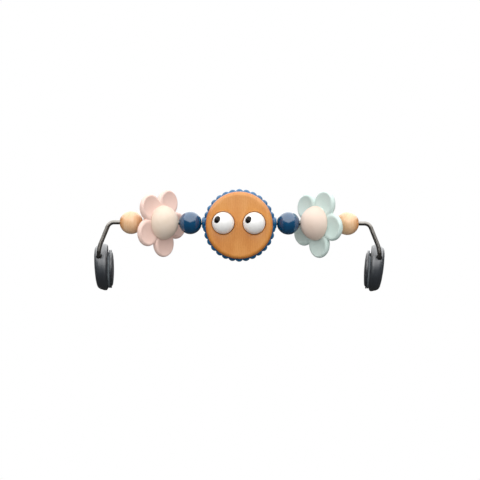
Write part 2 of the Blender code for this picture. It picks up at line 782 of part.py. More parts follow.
def build_clip_body(name, parent, mirrored):
    """Cup with a slot wall, a ledge for the cover, two hinge lugs and the spring's seat."""
    wall_top = CLIP_THICKNESS - DOME_DROPS[-1]
    ledge = wall_top - COVER_WALL - CLEARANCE
    slot_corner = (SLOT_EDGE, CLIP_RADIUS - SLOT_EDGE)
    outline = [(0.0, 0.0)]
    outline += arc(slot_corner, SLOT_EDGE, math.pi, RIGHT_ANGLE, SLOT_EDGE_STEPS)
    outline += dome_outline()[:len(DOME_DROPS)]
    outline += [
        (ledge, COVER_RADIUS),
        (ledge, CAVITY_RADIUS),
        (SLOT_WALL, CAVITY_RADIUS),
        (SLOT_WALL, 0.0),
    ]
    lugs = []
    saddles = []
    lug_top = HINGE_PLACE + HINGE_PIN_RADIUS
    saddle_half = HINGE_PIN_RADIUS + CLEARANCE
    lug_span = (HINGE_RISE - saddle_half - LUG_MARGIN, HINGE_RISE + saddle_half + LUG_MARGIN)
    for side in SIDE_NAMES:
        middle = side * lug_middle()
        inner = SLOT_WALL - ROOT_DEPTH
        lugs.append(clip_block((inner, lug_top), LUG_THICKNESS / 2, lug_span, middle))
        saddles.append(
            clip_block(
                (HINGE_PLACE - saddle_half, lug_top + OVERRUN),
                (LUG_THICKNESS + LUG_GAP) / 2,
                (HINGE_RISE - saddle_half, HINGE_RISE + saddle_half),
                middle,
            )
        )
    seat_half = SPRING_RADIUS + SPRING_WIRE + SEAT_MARGIN
    seat = clip_block(
        (SLOT_WALL - ROOT_DEPTH, SPRING_U + seat_half),
        seat_half,
        (SEAT_TOP - SEAT_THICKNESS, SEAT_TOP),
    )
    half, low, high = window()
    arm_window = clip_block((-OVERRUN, SLOT_WALL + ROOT_DEPTH), half, (low, high))
    bed = clip_cylinder(
        BODY_PAD_RADIUS + CLEARANCE, -OVERRUN, PAD_BED, z=-BODY_PAD_DROP, steps=CLIP_STEPS
    )
    stub_bore = stub_turned([
        (CAVITY_RADIUS - OVERRUN, 0.0),
        (CAVITY_RADIUS - OVERRUN, BUSH_BORE),
        (CLIP_RADIUS + OVERRUN, BUSH_BORE),
        (CLIP_RADIUS + OVERRUN, 0.0),
    ])
    screw_holes = []
    for side in SIDE_NAMES:
        hole_head = SCREW_HEAD_RADIUS + CLEARANCE
        hole = SCREW_RADIUS + CLEARANCE
        countersink = [
            (from_slot(0.0), 0.0),
            (from_slot(0.0), hole_head),
            (from_slot(PAD_BED + CLEARANCE), hole_head),
            (from_slot(PAD_BED + CLEARANCE + SCREW_HEAD), hole),
            (from_slot(SLOT_WALL + ROOT_DEPTH), hole),
            (from_slot(SLOT_WALL + ROOT_DEPTH), 0.0),
        ]
        turned_hole = turned(countersink, SMALL_STEPS, "x")
        screw_holes.append(shifted(turned_hole, y=side * POST_ACROSS, z=-POST_DROP))
    piece(
        f"clip_body_{name}",
        clip_turned(outline),
        "slate_plastic",
        parent,
        mirrored,
        join=[gathered(*lugs, seat)],
        cut=[gathered(*saddles), arm_window, bed, stub_bore, gathered(*screw_holes)],
    )


def cover_root(y, z):
    """Place in the cover's wall where a post or rib at a point of the slot's face ends."""
    reach = math.hypot(y, z)
    middle = CLIP_RADIUS * DOME_MIDDLE_SHARE
    if reach < middle:
        drop = DOME_MIDDLE_DROP * reach / middle
    else:
        slope = (DOME_DROPS[-1] - DOME_MIDDLE_DROP) / (COVER_RADIUS - middle)
        drop = DOME_MIDDLE_DROP + slope * (reach - middle)
    level = CLIP_THICKNESS - drop - COVER_WALL
    return level + level / CLIP_THICKNESS * z * math.tan(CLIP_TAPER) + COVER_ROOT_DEPTH


def build_clip_cover(name, parent, mirrored):
    """Domed cover with two screw posts and two ribs that keep the hinge pin in its saddles."""
    edge = COVER_RADIUS - CLEARANCE
    rim = CLIP_THICKNESS - DOME_DROPS[-1]
    outer = [(rim, edge)] + dome_outline()[len(DOME_DROPS):]
    inner = [
        (CLIP_THICKNESS - COVER_WALL, 0.0),
        (CLIP_THICKNESS - DOME_MIDDLE_DROP - COVER_WALL, CLIP_RADIUS * DOME_MIDDLE_SHARE),
        (rim - COVER_WALL, edge),
    ]
    outline = inner + outer
    posts = []
    holes = []
    post_top = cover_root(POST_ACROSS, -POST_DROP)
    for side in SIDE_NAMES:
        y = side * POST_ACROSS
        posts.append(clip_cylinder(POST_RADIUS, SLOT_WALL + CLEARANCE, post_top, y, -POST_DROP))
        tip = PAD_BED + CLEARANCE + SCREW_LENGTH + CLEARANCE
        hole = SCREW_RADIUS + CLEARANCE
        holes.append(clip_cylinder(hole, SLOT_WALL - ROOT_DEPTH, tip, y, -POST_DROP))
    ribs = [
        clip_block(
            (HINGE_PLACE + HINGE_PIN_RADIUS + CLEARANCE, cover_root(lug_middle(), HINGE_RISE)),
            LUG_THICKNESS / 2 - CLEARANCE,
            (HINGE_RISE - RIB_WIDTH / 2, HINGE_RISE + RIB_WIDTH / 2),
            side * lug_middle(),
        )
        for side in SIDE_NAMES
    ]
    piece(
        f"clip_cover_{name}",
        clip_turned(outline),
        "slate_plastic",
        parent,
        mirrored,
        join=[gathered(*posts, *ribs)],
        cut=[gathered(*holes)],
    )


def build_clip_swivel(name, clip_frame, rod_frame, mirrored):
    """Bush in the rim and the push-on ring that keeps the rod's stub in it."""
    bush = [
        (BUSH_START, BORE_RADIUS),
        (BUSH_START, BUSH_RADIUS),
        (FLANGE_START, BUSH_RADIUS),
        (FLANGE_START, BUSH_RADIUS + FLANGE_WIDTH),
        (BUSH_END, BUSH_RADIUS + FLANGE_WIDTH),
        (BUSH_END, BORE_RADIUS),
    ]
    piece(f"stub_bush_{name}", stub_turned(bush), "nylon", clip_frame, mirrored)
    ring = [
        (RING_START, BORE_RADIUS),
        (RING_START, BORE_RADIUS + RING_WIDTH),
        (RING_END, BORE_RADIUS + RING_WIDTH),
        (RING_END, BORE_RADIUS),
    ]
    piece(f"retaining_ring_{name}", stub_turned(ring), "bright_steel", rod_frame, mirrored)


def build_clip_screws(name, parent, mirrored):
    """Two countersunk screws under the housing's pad."""
    head = PAD_BED + CLEARANCE
    outline = [
        (from_slot(head), 0.0),
        (from_slot(head), SCREW_HEAD_RADIUS),
        (from_slot(head + SCREW_HEAD), SCREW_RADIUS),
        (from_slot(head + SCREW_LENGTH), SCREW_RADIUS),
        (from_slot(head + SCREW_LENGTH), 0.0),
    ]
    for side, place in ((-1, "front"), (1, "rear")):
        screw = shifted(turned(outline, SMALL_STEPS, "x"), y=side * POST_ACROSS, z=-POST_DROP)
        piece(f"clip_screw_{place}_{name}", screw, "bright_steel", parent, mirrored)


def from_hinge(made):
    """A clip's body moved into the frame of its jaw, whose origin lies on the hinge's axis."""
    return shifted(made, x=-from_slot(HINGE_PLACE), z=-HINGE_RISE)


def build_jaw(name, clip_frame, jaw_frame, mirrored):
    """Round jaw with a domed cap, an arm, a hinge barrel and a tail, and the hinge pin."""
    cap_radius = JAW_RADIUS * CAP_RADIUS_SHARE
    plate = [(JAW_BACK - CAP_RISE, 0.0)]
    plate += [
        (JAW_BACK - CAP_RISE + (CAP_RISE - CAP_EDGE) * lost, cap_radius * share)
        for share, lost in CAP_DOME
    ]
    plate += [
        (JAW_BACK, cap_radius),
        (JAW_BACK, JAW_RADIUS - JAW_EDGE),
        (JAW_BACK + JAW_EDGE, JAW_RADIUS),
        (JAW_FRONT - JAW_EDGE, JAW_RADIUS),
        (JAW_FRONT, JAW_RADIUS - JAW_EDGE),
        (JAW_FRONT, 0.0),
    ]
    half = BARREL_WIDTH / 2
    arm_half = ARM_THICKNESS / 2
    arm = clip_block(
        (JAW_FRONT - JAW_THICKNESS / 2, HINGE_PLACE),
        half,
        (HINGE_RISE - arm_half, HINGE_RISE + arm_half),
    )
    tail = clip_block(
        (HINGE_PLACE, HINGE_PLACE + TAIL_REACH),
        half - CLEARANCE,
        (HINGE_RISE - BARREL_RADIUS, HINGE_RISE - BARREL_RADIUS + TAIL_THICKNESS),
    )
    barrel = cylinder(BARREL_RADIUS, -half - CLEARANCE, half + CLEARANCE, SLEEVE_STEPS, "y")
    hole_radius = HINGE_PIN_RADIUS + CLEARANCE
    hole = cylinder(hole_radius, -half - OVERRUN, half + OVERRUN, SMALL_STEPS, "y")
    disc = turned([(from_slot(u), out) for u, out in plate], CLIP_STEPS, "x")
    piece(
        f"clip_jaw_{name}",
        from_hinge(shifted(disc, z=-JAW_DROP)),
        "slate_plastic",
        jaw_frame,
        mirrored,
        join=[from_hinge(arm), from_hinge(tail), barrel],
        cut=[hole],
    )
    pin_half = lug_middle() + LUG_THICKNESS / 2
    pin = cylinder(HINGE_PIN_RADIUS, -pin_half, pin_half, SMALL_STEPS, "y")
    pin = shifted(pin, x=from_slot(HINGE_PLACE), z=HINGE_RISE)
    piece(f"hinge_pin_{name}", pin, "bright_steel", clip_frame, mirrored)


def build_pads(name, clip_frame, jaw_frame, mirrored):
    """Rubber pads on the two faces of the slot."""
    body_pad = clip_cylinder(
        BODY_PAD_RADIUS, 0.0, PAD_THICKNESS, z=-BODY_PAD_DROP, steps=CLIP_STEPS
    )
    piece(f"body_pad_{name}", body_pad, "grey_rubber", clip_frame, mirrored)
    jaw_pad = clip_cylinder(
        JAW_RADIUS - PAD_INSET, JAW_PAD_BACK, -SLOT_GAP, z=-JAW_DROP, steps=CLIP_STEPS
    )
    half = BARREL_WIDTH / 2 + CLEARANCE
    arm_half = ARM_THICKNESS / 2 + CLEARANCE
    arm_hole = clip_block(
        (JAW_PAD_BACK - OVERRUN, OVERRUN - SLOT_GAP),
        half,
        (HINGE_RISE - arm_half, HINGE_RISE + arm_half),
    )
    piece(
        f"jaw_pad_{name}",
        from_hinge(jaw_pad),
        "grey_rubber",
        jaw_frame,
        mirrored,
        cut=[from_hinge(arm_hole)],
    )


def build_spring(name, parent, side):
    """Compression spring between its seat and the jaw's tail."""
    count = SPRING_TURNS * SPRING_TURN_POINTS
    low = SPRING_FOOT + SPRING_WIRE / 2
    rise = SPRING_LENGTH - SPRING_WIRE
    curve = bpy.data.curves.new(f"jaw_spring_{name}", "CURVE")
    curve.dimensions = "3D"
    curve.bevel_depth = SPRING_WIRE / 2
    curve.bevel_resolution = SPRING_BEVEL_RESOLUTION
    curve.use_fill_caps = True
    spline = curve.splines.new("POLY")
    spline.points.add(count)
    for index, target in enumerate(spline.points):
        turn = FULL_TURN * index / SPRING_TURN_POINTS
        x = from_slot(SPRING_U) + SPRING_RADIUS * math.cos(turn)
        y = SPRING_RADIUS * math.sin(turn)
        target.co = (side * x, y, low + rise * index / count, 1.0)
    spring = bpy.data.objects.new(f"jaw_spring_{name}", curve)
    bpy.context.scene.collection.objects.link(spring)
    spring.parent = parent
    curve.materials.append(finish_material(f"jaw_spring_{name}", "bright_steel"))


def build_clip(side):
    """One clip, which swivels on the rod's stub."""
    name = SIDE_NAMES[side]
    mirrored = side < 0
    centre = Vector((side * CLIP_X, 0.0, 0.0))
    lean = Matrix.Rotation(side * CLIP_LEANS[side], 4, STUB_AXIS)
    clip_frame = frame(f"clip_frame_{name}", centre, lean)
    rod_frame = frame(f"stub_frame_{name}", centre)
    hinge = Vector((side * from_slot(HINGE_PLACE), 0.0, HINGE_RISE))
    jaw_frame = frame(f"jaw_frame_{name}", hinge, parent=clip_frame)
    build_clip_body(name, clip_frame, mirrored)
    build_clip_cover(name, clip_frame, mirrored)
    build_clip_swivel(name, clip_frame, rod_frame, mirrored)
    build_clip_screws(name, clip_frame, mirrored)
    build_jaw(name, clip_frame, jaw_frame, mirrored)
    build_pads(name, clip_frame, jaw_frame, mirrored)
    build_spring(name, clip_frame, side)


def clear_scene():
    for thing in list(bpy.data.objects):
        bpy.data.objects.remove(thing, do_unlink=True)


def build():
    clear_scene()
    build_rod()
    build_head()
    for side in SIDE_NAMES:
        build_beads(side)
        build_flower(side)
        build_clip(side)


build()
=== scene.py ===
"""Looks of a bouncer toy bar: turned wooden beads and face, moulded flowers, a bent wire and clips.

Metres, +Z up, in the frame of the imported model: X runs along the bar and the face looks at -Y.
"""

import json
import math

import bpy
from mathutils import Matrix, Vector


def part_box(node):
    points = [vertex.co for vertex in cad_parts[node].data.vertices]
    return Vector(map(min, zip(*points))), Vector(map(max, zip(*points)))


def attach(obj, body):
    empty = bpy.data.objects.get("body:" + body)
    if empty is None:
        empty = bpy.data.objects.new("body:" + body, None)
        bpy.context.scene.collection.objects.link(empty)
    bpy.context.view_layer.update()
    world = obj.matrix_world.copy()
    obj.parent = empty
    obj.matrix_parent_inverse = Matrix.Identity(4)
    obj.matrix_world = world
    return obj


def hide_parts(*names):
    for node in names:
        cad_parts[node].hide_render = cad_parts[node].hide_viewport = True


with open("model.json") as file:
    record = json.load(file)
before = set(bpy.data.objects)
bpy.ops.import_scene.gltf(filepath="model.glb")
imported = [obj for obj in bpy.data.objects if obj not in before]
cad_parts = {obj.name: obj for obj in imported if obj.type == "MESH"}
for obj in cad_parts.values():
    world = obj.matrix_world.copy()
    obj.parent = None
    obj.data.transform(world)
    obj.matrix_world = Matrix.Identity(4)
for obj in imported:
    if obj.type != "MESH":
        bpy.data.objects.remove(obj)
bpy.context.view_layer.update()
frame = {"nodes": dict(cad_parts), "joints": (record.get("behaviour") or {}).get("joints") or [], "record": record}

# Places that the frame gives

RECORD = frame["record"]
BODY_OF = {node: body for body, nodes in RECORD["behaviour"]["bodies"].items() for node in nodes}
JOINTS = {joint["name"]: joint for joint in frame["joints"]}
MOUNTS = {mount["name"]: mount for mount in RECORD["mounts"]}
SIDES = {"left": -1, "right": 1}
RIGHT_ANGLE = math.pi / 2
TO_X = Matrix.Rotation(RIGHT_ANGLE, 4, "Y")
TO_Y = Matrix.Rotation(-RIGHT_ANGLE, 4, "X")
TO_FRONT = Matrix.Rotation(RIGHT_ANGLE, 4, "X")


def pivot(joint):
    """The point that a joint turns about."""
    return Vector(JOINTS[joint]["pos_m"])


def span(node, axis):
    """Lowest and highest place of a node along a world axis, 0 to 2."""
    low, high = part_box(node)
    return low[axis], high[axis]


ROD_PLACE = pivot("head_spin")
FACE_FRONT, FACE_BACK = span("face_disc", 1)
FACE_LOW, FACE_HIGH = span("face_disc", 2)
HEAD_PLACE = Vector((0.0, ROD_PLACE.y, (FACE_LOW + FACE_HIGH) / 2))

# Camera: square to the face, where the photograph puts the head a little above the middle

PHOTO_PIXELS = 480
PIXEL = 0.00129
HEAD_PIXEL = (239.2, 225.35)
CAMERA_DISTANCE = 3.0
CAMERA_ROLL = math.radians(0.27)


def make_camera():
    data = bpy.data.cameras.new("camera")
    data.lens = data.sensor_width * CAMERA_DISTANCE / (PHOTO_PIXELS * PIXEL)
    camera = bpy.data.objects.new("camera", data)
    bpy.context.scene.collection.objects.link(camera)
    middle = PHOTO_PIXELS / 2
    place = Vector((
        HEAD_PLACE.x + (middle - HEAD_PIXEL[0]) * PIXEL,
        ROD_PLACE.y - CAMERA_DISTANCE,
        HEAD_PLACE.z - (middle - HEAD_PIXEL[1]) * PIXEL,
    ))
    roll = Matrix.Rotation(CAMERA_ROLL, 4, "Z")
    camera.matrix_world = Matrix.Translation(place) @ TO_FRONT @ roll
    bpy.context.scene.camera = camera


make_camera()

# Modelling

WELD = 0.00001
CLEARANCE = 0.0003
OVERRUN = 0.004
SPECK = 0.001
SMOOTH_ANGLE = math.radians(32)


def pick(thing):
    """Make one object the only one selected and active."""
    bpy.ops.object.select_all(action="DESELECT")
    thing.select_set(True)
    bpy.context.view_layer.objects.active = thing


def edit(thing, select="SELECT"):
    pick(thing)
    bpy.ops.object.mode_set(mode="EDIT")
    bpy.ops.mesh.select_all(action=select)


def close_edit():
    bpy.ops.object.mode_set(mode="OBJECT")


def face_out(thing):
    """Merge the doubles of a closed shape and turn its faces outwards."""
    edit(thing)
    bpy.ops.mesh.remove_doubles(threshold=WELD)
    bpy.ops.mesh.normals_make_consistent(inside=False)
    close_edit()


def named(name):
    made = bpy.context.object
    made.name = name
    made.data.name = name
    return made


def moved(thing, place):
    """Move, turn or mirror a shape, with its place kept in its mesh."""
    thing.matrix_world = place @ thing.matrix_world
    pick(thing)
    bpy.ops.object.transform_apply(location=True, rotation=True, scale=True)
    if place.determinant() < 0:
        face_out(thing)
    return thing


def shifted(thing, x=0.0, y=0.0, z=0.0):
    return moved(thing, Matrix.Translation((x, y, z)))


def applied(thing, kind, **settings):
    """Add a modifier, set it and apply it."""
    pick(thing)
    bpy.ops.object.modifier_add(type=kind)
    modifier = thing.modifiers[-1]
    for name, value in settings.items():
        setattr(modifier, name, value)
    bpy.ops.object.modifier_apply(modifier=modifier.name)
    return thing


def combined(thing, tools, operation):
    for tool in tools:
        applied(thing, "BOOLEAN", object=tool, operation=operation, solver="EXACT")
        bpy.data.objects.remove(tool)
    return thing


def cut(thing, *tools):
    return combined(thing, tools, "DIFFERENCE")


def united(thing, *tools):
    return combined(thing, tools, "UNION")


def joined(things):
    """One object that holds several separate shapes."""
    pick(things[0])
    for thing in things:
        thing.select_set(True)
    bpy.ops.object.join()
    return things[0]


def copied(thing, place):
    """A copy of a shape with a mesh of its own, moved to its place."""
    copy = thing.copy()
    copy.data = thing.data.copy()
    bpy.context.scene.collection.objects.link(copy)
    return moved(copy, place)


def arc(centre, radius, start, end, steps):
    """Points (out, along) on a circle round a centre, from one angle to another."""
    angles = [start + (end - start) * step / steps for step in range(steps + 1)]
    return [(centre[0] + radius * math.cos(a), centre[1] + radius * math.sin(a)) for a in angles]


def turned(name, outline, steps=96):
    """Closed shape drawn as an outline of (out, along) points and spun round the Z axis."""
    if outline[0][0] > 0.0:
        outline = outline + outline[:1]
    bpy.ops.object.select_all(action="DESELECT")
    bpy.ops.mesh.primitive_plane_add(size=SPECK)
    bpy.ops.object.mode_set(mode="EDIT")
    bpy.ops.mesh.merge(type="CENTER")
    bpy.ops.transform.translate(value=(outline[0][0], 0.0, outline[0][1]))
    for before, after in zip(outline, outline[1:]):
        step = (after[0] - before[0], 0.0, after[1] - before[1])
        bpy.ops.mesh.extrude_region_move(TRANSFORM_OT_translate={"value": step})
    bpy.ops.mesh.select_all(action="SELECT")
    bpy.ops.mesh.spin(steps=steps, angle=math.tau, center=(0, 0, 0), axis=(0, 0, 1))
    bpy.ops.object.mode_set(mode="OBJECT")
    made = named(name)
    face_out(made)
    return made


def rod_tool(radius, reach, steps=48):
    """Plain round cutter along the X axis."""
    outline = [(0.0, -reach), (radius, -reach), (radius, reach), (0.0, reach)]
    return moved(turned("cutter", outline, steps), TO_X)


def block(name, low, high, edge=0.0):
    """Box between two corners with softened edges."""
    low, high = Vector(low), Vector(high)
    bpy.ops.object.select_all(action="DESELECT")
    bpy.ops.mesh.primitive_cube_add(size=1.0, location=(low + high) / 2, scale=high - low)
    made = moved(named(name), Matrix.Identity(4))
    if edge:
        edit(made)
        bpy.ops.mesh.bevel(offset=edge, segments=2, affect="EDGES")
        close_edit()
    return made


def dress(piece, node, material):
    """Finish a piece: smooth shading, material, the body that it rides on and its CAD node."""
    pick(piece)
    bpy.ops.object.shade_smooth_by_angle(angle=SMOOTH_ANGLE)
    piece.data.materials.clear()
    piece.data.materials.append(material)
    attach(piece, BODY_OF[node])
    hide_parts(node)


# Materials

MM = 0.001
# How much the bands, the wandering tone and the fibres each add to a wood's figure.
BAND_SHARE = 0.08
WANDER_SHARE = 0.62
FIBRE_SHARE = 0.30


def colour(code):
    """Linear colour with alpha from an sRGB hex value."""
    parts = [int(code[place:place + 2], 16) / 255 for place in (1, 3, 5)]
    linear = [p / 12.92 if p <= 0.04045 else ((p + 0.055) / 1.055) ** 2.4 for p in parts]
    return (*linear, 1.0)


def feed(tree, node, sockets):
    """Set a node's sockets to values, or link them to the nodes or outputs that feed them."""
    for name, value in sockets.items():
        if isinstance(value, bpy.types.Node):
            value = value.outputs[0]
        if isinstance(value, bpy.types.NodeSocket):
            tree.links.new(value, node.inputs[name])
        else:
            node.inputs[name].default_value = value


def add(tree, kind, sockets, stops=(), **settings):
    """A shader node with its settings, the (place, colour) stops of a ramp, and its sockets."""
    made = tree.nodes.new("ShaderNode" + kind)
    for name, value in settings.items():
        setattr(made, name, value)
    for place, tone in stops[2:]:
        made.color_ramp.elements.new(place)
    for number, (place, tone) in enumerate(stops):
        made.color_ramp.elements[number].position = place
        made.color_ramp.elements[number].color = tone
    feed(tree, made, sockets)
    return made


def surface(name, sockets):
    """A material with its node tree and its Principled shader, whose sockets are set."""
    made = bpy.data.materials.new(name)
    made.use_nodes = True
    shader = made.node_tree.nodes["Principled BSDF"]
    feed(made.node_tree, shader, sockets)
    return made, made.node_tree, shader


def pattern_space(tree, centre=(0.0, 0.0, 0.0), grain=(1.0, 1.0, 1.0)):
    """Object coordinates centred on a piece, stretched by the grain's run along each axis."""
    place = add(tree, "TexCoord", {}).outputs["Object"]
    shift = [-value for value in centre]
    centred = add(tree, "Mapping", {"Vector": place, "Location": shift})
    return add(tree, "Mapping", {"Vector": centred, "Scale": grain})


def grey(value):
    return (value, value, value, 1.0)


def steel_wire():
    # Stainless steel wire, drawn and tumbled: a neutral grey metal with a soft, uneven sheen.
    made, tree, shader = surface("tumbled_stainless_wire", {"Metallic": 1.0})
    space = pattern_space(tree)
    patches = add(tree, "TexNoise", {"Vector": space, "Scale": 1 / (9 * MM), "Detail": 3.0})
    grit = add(tree, "TexNoise", {"Vector": space, "Scale": 1 / (0.5 * MM)})
    tones = [(0.3, colour("#96928c")), (0.7, colour("#a29e98"))]
    feed(tree, shader, {
        "Base Color": add(tree, "ValToRGB", {0: patches}, tones),
        "Roughness": add(tree, "MapRange", {0: patches, 3: 0.34, 4: 0.42}),
        "Normal": add(tree, "Bump", {"Height": grit, "Distance": 0.01 * MM, "Strength": 0.06}),
    })
    return made


def wood(name, tones, centre, run, ring, roughness, fleck, coat, rim):
    """Turned wood: soft growth bands, fine fibres and pores along the grain, a lacquer or oil, and painted shade
    towards the rim.
    """
    made, tree, shader = surface(
        name, {"Coat Weight": coat, "Coat Roughness": 0.16, "Coat IOR": 1.55}
    )
    along = pattern_space(tree, centre, run)
    plain = pattern_space(tree, centre)
    wander = add(tree, "TexNoise", {"Vector": along, "Scale": 1 / (16 * MM), "Detail": 4.0})
    waves = {"Vector": along, "Scale": 1 / ring, "Distortion": 7.0, "Detail": 3.0}
    bands = add(tree, "TexWave", waves).outputs[1]
    fibres = add(tree, "TexNoise", {"Vector": along, "Scale": 1 / (1.6 * MM), "Detail": 3.0})
    figure = add(tree, "Math", {0: bands, 1: BAND_SHARE}, operation="MULTIPLY")
    figure = add(tree, "Math", {0: wander, 1: WANDER_SHARE, 2: figure}, operation="MULTIPLY_ADD")
    figure = add(tree, "Math", {0: fibres, 1: FIBRE_SHARE, 2: figure}, operation="MULTIPLY_ADD")
    dark, middle, light = (colour(tone) for tone in tones)
    base = add(tree, "ValToRGB", {0: figure}, [(0.30, dark), (0.5, middle), (0.70, light)])
    # Real pores are about 0.1 mm wide: they are drawn three times as wide, so that they show.
    pores = add(tree, "TexNoise", {"Vector": along, "Scale": 1 / (0.9 * MM), "Roughness": 0.6})
    mask = add(tree, "ValToRGB", {0: pores}, [(0.36, grey(fleck)), (0.46, grey(0.0))])
    flecked = add(tree, "Mix", {0: mask, 6: base, 7: dark}, data_type="RGBA")
    smudge = add(tree, "TexNoise", {"Vector": plain, "Scale": 1 / (11 * MM)})
    # Painted shade: the colour turns darker and redder towards the rim of a turned piece, where its rounded edge
    # falls into shade; at the beads' bore ends this is partly also end grain that takes up more finish.
    rim_shade_axes, inner, outer, rim_shade_tone = rim
    across = add(tree, "VectorMath", {0: plain, 1: rim_shade_axes}, operation="MULTIPLY")
    reach = add(tree, "VectorMath", {0: across}, operation="LENGTH").outputs["Value"]
    share = add(tree, "MapRange", {0: reach, 1: inner, 2: outer})
    rim_shaded = {0: share, 6: flecked.outputs[2], 7: colour(rim_shade_tone)}
    feed(tree, shader, {
        "Base Color": add(tree, "Mix", rim_shaded, data_type="RGBA").outputs[2],
        "Roughness": add(tree, "MapRange", {0: smudge, 3: roughness - 0.05, 4: roughness + 0.08}),
        "Normal": add(tree, "Bump", {"Height": pores, "Distance": 0.03 * MM, "Strength": 0.25}),
    })
    return made


def moulded(name, tone, shade, roughness, grit=0.35, ior=1.5, coat=0.0, specular=0.5):
    """Injection-moulded plastic: an even colour with faint flow marks and a fine satin grain."""
    gloss = {"IOR": ior, "Specular IOR Level": specular}
    lacquer = {"Coat Weight": coat, "Coat Roughness": roughness, "Coat IOR": 1.75}
    made, tree, shader = surface(name, gloss | lacquer)
    space = pattern_space(tree)
    flows = {"Vector": space, "Scale": 1 / (22 * MM), "Distortion": 0.4}
    flow = add(tree, "TexNoise", flows)
    # A real satin mould grain is about 0.1 mm: it is drawn at 0.6 mm, so that it shows.
    grain = add(tree, "TexNoise", {"Vector": space, "Scale": 1 / (0.6 * MM), "Detail": 1.0})
    tones = [(0.32, colour(shade)), (0.68, colour(tone))]
    feed(tree, shader, {
        "Base Color": add(tree, "ValToRGB", {0: flow}, tones),
        "Roughness": add(tree, "MapRange", {0: grain, 3: roughness - 0.04, 4: roughness + 0.05}),
        "Normal": add(tree, "Bump", {"Height": grain, "Distance": 0.02 * MM, "Strength": grit}),
    })
    return made


def enamel(name, tone, shade):
    """Enamel sprayed on a wooden bead: deep colour under a gloss with a faint orange peel."""
    made, tree, shader = surface(
        name, {"IOR": 1.6, "Coat Weight": 1.0, "Coat Roughness": 0.14, "Coat IOR": 1.6}
    )
    space = pattern_space(tree)
    depth = add(tree, "TexNoise", {"Vector": space, "Scale": 1 / (14 * MM)})
    peel = add(tree, "TexNoise", {"Vector": space, "Scale": 1 / (1.6 * MM), "Detail": 1.0})
    tones = [(0.3, colour(shade)), (0.7, colour(tone))]
    feed(tree, shader, {
        "Base Color": add(tree, "ValToRGB", {0: depth}, tones),
        "Roughness": add(tree, "MapRange", {0: peel, 3: 0.14, 4: 0.22}),
        "Normal": add(tree, "Bump", {"Height": peel, "Distance": 0.02 * MM, "Strength": 0.15}),
    })
    return made


def rubber(name, tone, bloom_tone):
    """Moulded rubber: dull, with a dusty bloom in soft patches."""
    made, tree, shader = surface(name, {"IOR": 1.5})
    space = pattern_space(tree)
    bloom = add(tree, "TexNoise", {"Vector": space, "Scale": 1 / (6 * MM), "Detail": 3.0})
    grit = add(tree, "TexNoise", {"Vector": space, "Scale": 1 / (0.5 * MM)})
    tones = [(0.35, colour(tone)), (0.75, colour(bloom_tone))]
    feed(tree, shader, {
        "Base Color": add(tree, "ValToRGB", {0: bloom}, tones),
        "Roughness": add(tree, "MapRange", {0: bloom, 3: 0.50, 4: 0.66}),
        "Normal": add(tree, "Bump", {"Height": grit, "Distance": 0.03 * MM, "Strength": 0.4}),
    })
    return made


def zinc(name):
    """Zinc-plated steel: bright and slightly mottled by the plating."""
    made, tree, shader = surface(name, {"Metallic": 1.0})
    space = pattern_space(tree)
    mottle = add(tree, "TexNoise", {"Vector": space, "Scale": 1 / (1.5 * MM)})
    tones = [(0.3, colour("#b9bcbd")), (0.7, colour("#d3d5d4"))]
    feed(tree, shader, {
        "Base Color": add(tree, "ValToRGB", {0: mottle}, tones),
        "Roughness": add(tree, "MapRange", {0: mottle, 3: 0.22, 4: 0.36}),
    })
    return made


def bead_wood(name, node):
    low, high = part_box(node)
    # Maple, turned and lacquered: pale, with quiet bands and a broad soft highlight.
    return wood(
        name,
        ("#e3ab76", "#eec296", "#f6d3ad"),
        (low + high) / 2,
        (1.0, 1.0, 0.25),
        7 * MM,
        0.30,
        fleck=0.12,
        coat=0.6,
        # Painted shade towards the bore ends, where the bead meets its neighbours, partly also darker end grain.
        rim=((1.0, 0.0, 0.0), 7 * MM, 15 * MM, "#d58b45"),
    )


# Beech, turned and oiled: orange-brown with short dark flecks that run up the face.
FACE_WOOD = wood(
    "oiled_beech",
    ("#ca7b2c", "#d88f40", "#e19f54"),
    HEAD_PLACE,
    (1.0, 1.0, 0.55),
    9 * MM,
    0.40,
    fleck=0.22,
    coat=0.5,
    # Painted shade on the face's rounded rim: darker and redder from 40.4 mm out.
    rim=((1.0, 0.0, 1.0), 40.4 * MM, 44.4 * MM, "#b25c14"),
)
BEAD_WOOD = {side: bead_wood(f"lacquered_maple_{side}", f"end_bead_{side}") for side in SIDES}
BLUE_ENAMEL = enamel("blue_enamel", "#004a74", "#004066")
CORE_PLASTIC = moulded("blue_moulded_abs", "#0f6699", "#0b5a8a", 0.26, ior=1.55, coat=0.3)
PETAL_PLASTIC = {
    "left": moulded("pink_moulded_abs", "#f5d6ca", "#f0cfc2", 0.38),
    "right": moulded("mint_moulded_abs", "#d4e4de", "#cbdfd8", 0.38),
}
# The two balls differ a little: the left one is yellower.
BALL_PLASTIC = {
    "left": moulded("cream_moulded_abs", "#ead9c8", "#e3d0bc", 0.50),
    "right": moulded("rosy_cream_moulded_abs", "#ebd7c8", "#e4cebe", 0.50),
}
EYE_PLASTIC = moulded("white_moulded_abs", "#fbfbf9", "#f6f5f3", 0.30, grit=0.15)
PUPIL_PLASTIC = moulded("black_polished_abs", "#0b0809", "#070606", 0.12, grit=0.05, ior=1.3)
CLIP_PLASTIC = moulded("slate_moulded_nylon", "#20272f", "#1c232a", 0.46, grit=0.1, ior=1.6, coat=1.0, specular=1.0)
PAD_RUBBER = rubber("grey_moulded_rubber", "#565d62", "#70777b")
FITTING_STEEL = zinc("zinc_plated_steel")
BUSH_NYLON = moulded("black_moulded_nylon", "#2d2e30", "#262729", 0.48)
ROD_STEEL = steel_wire()

# Rod

ROD_RADIUS = 0.00275
BORE_RADIUS = ROD_RADIUS + CLEARANCE
SHOULDER_LENGTH = 0.0134
SHOULDER_RADIUS = 0.009
LEG_DROP = 0.0300
FOOT_DROP = 0.0098
FOOT_LEAN = math.radians(9.8)
KNEE_RADIUS = 0.030
ANKLE_RADIUS = 0.0065


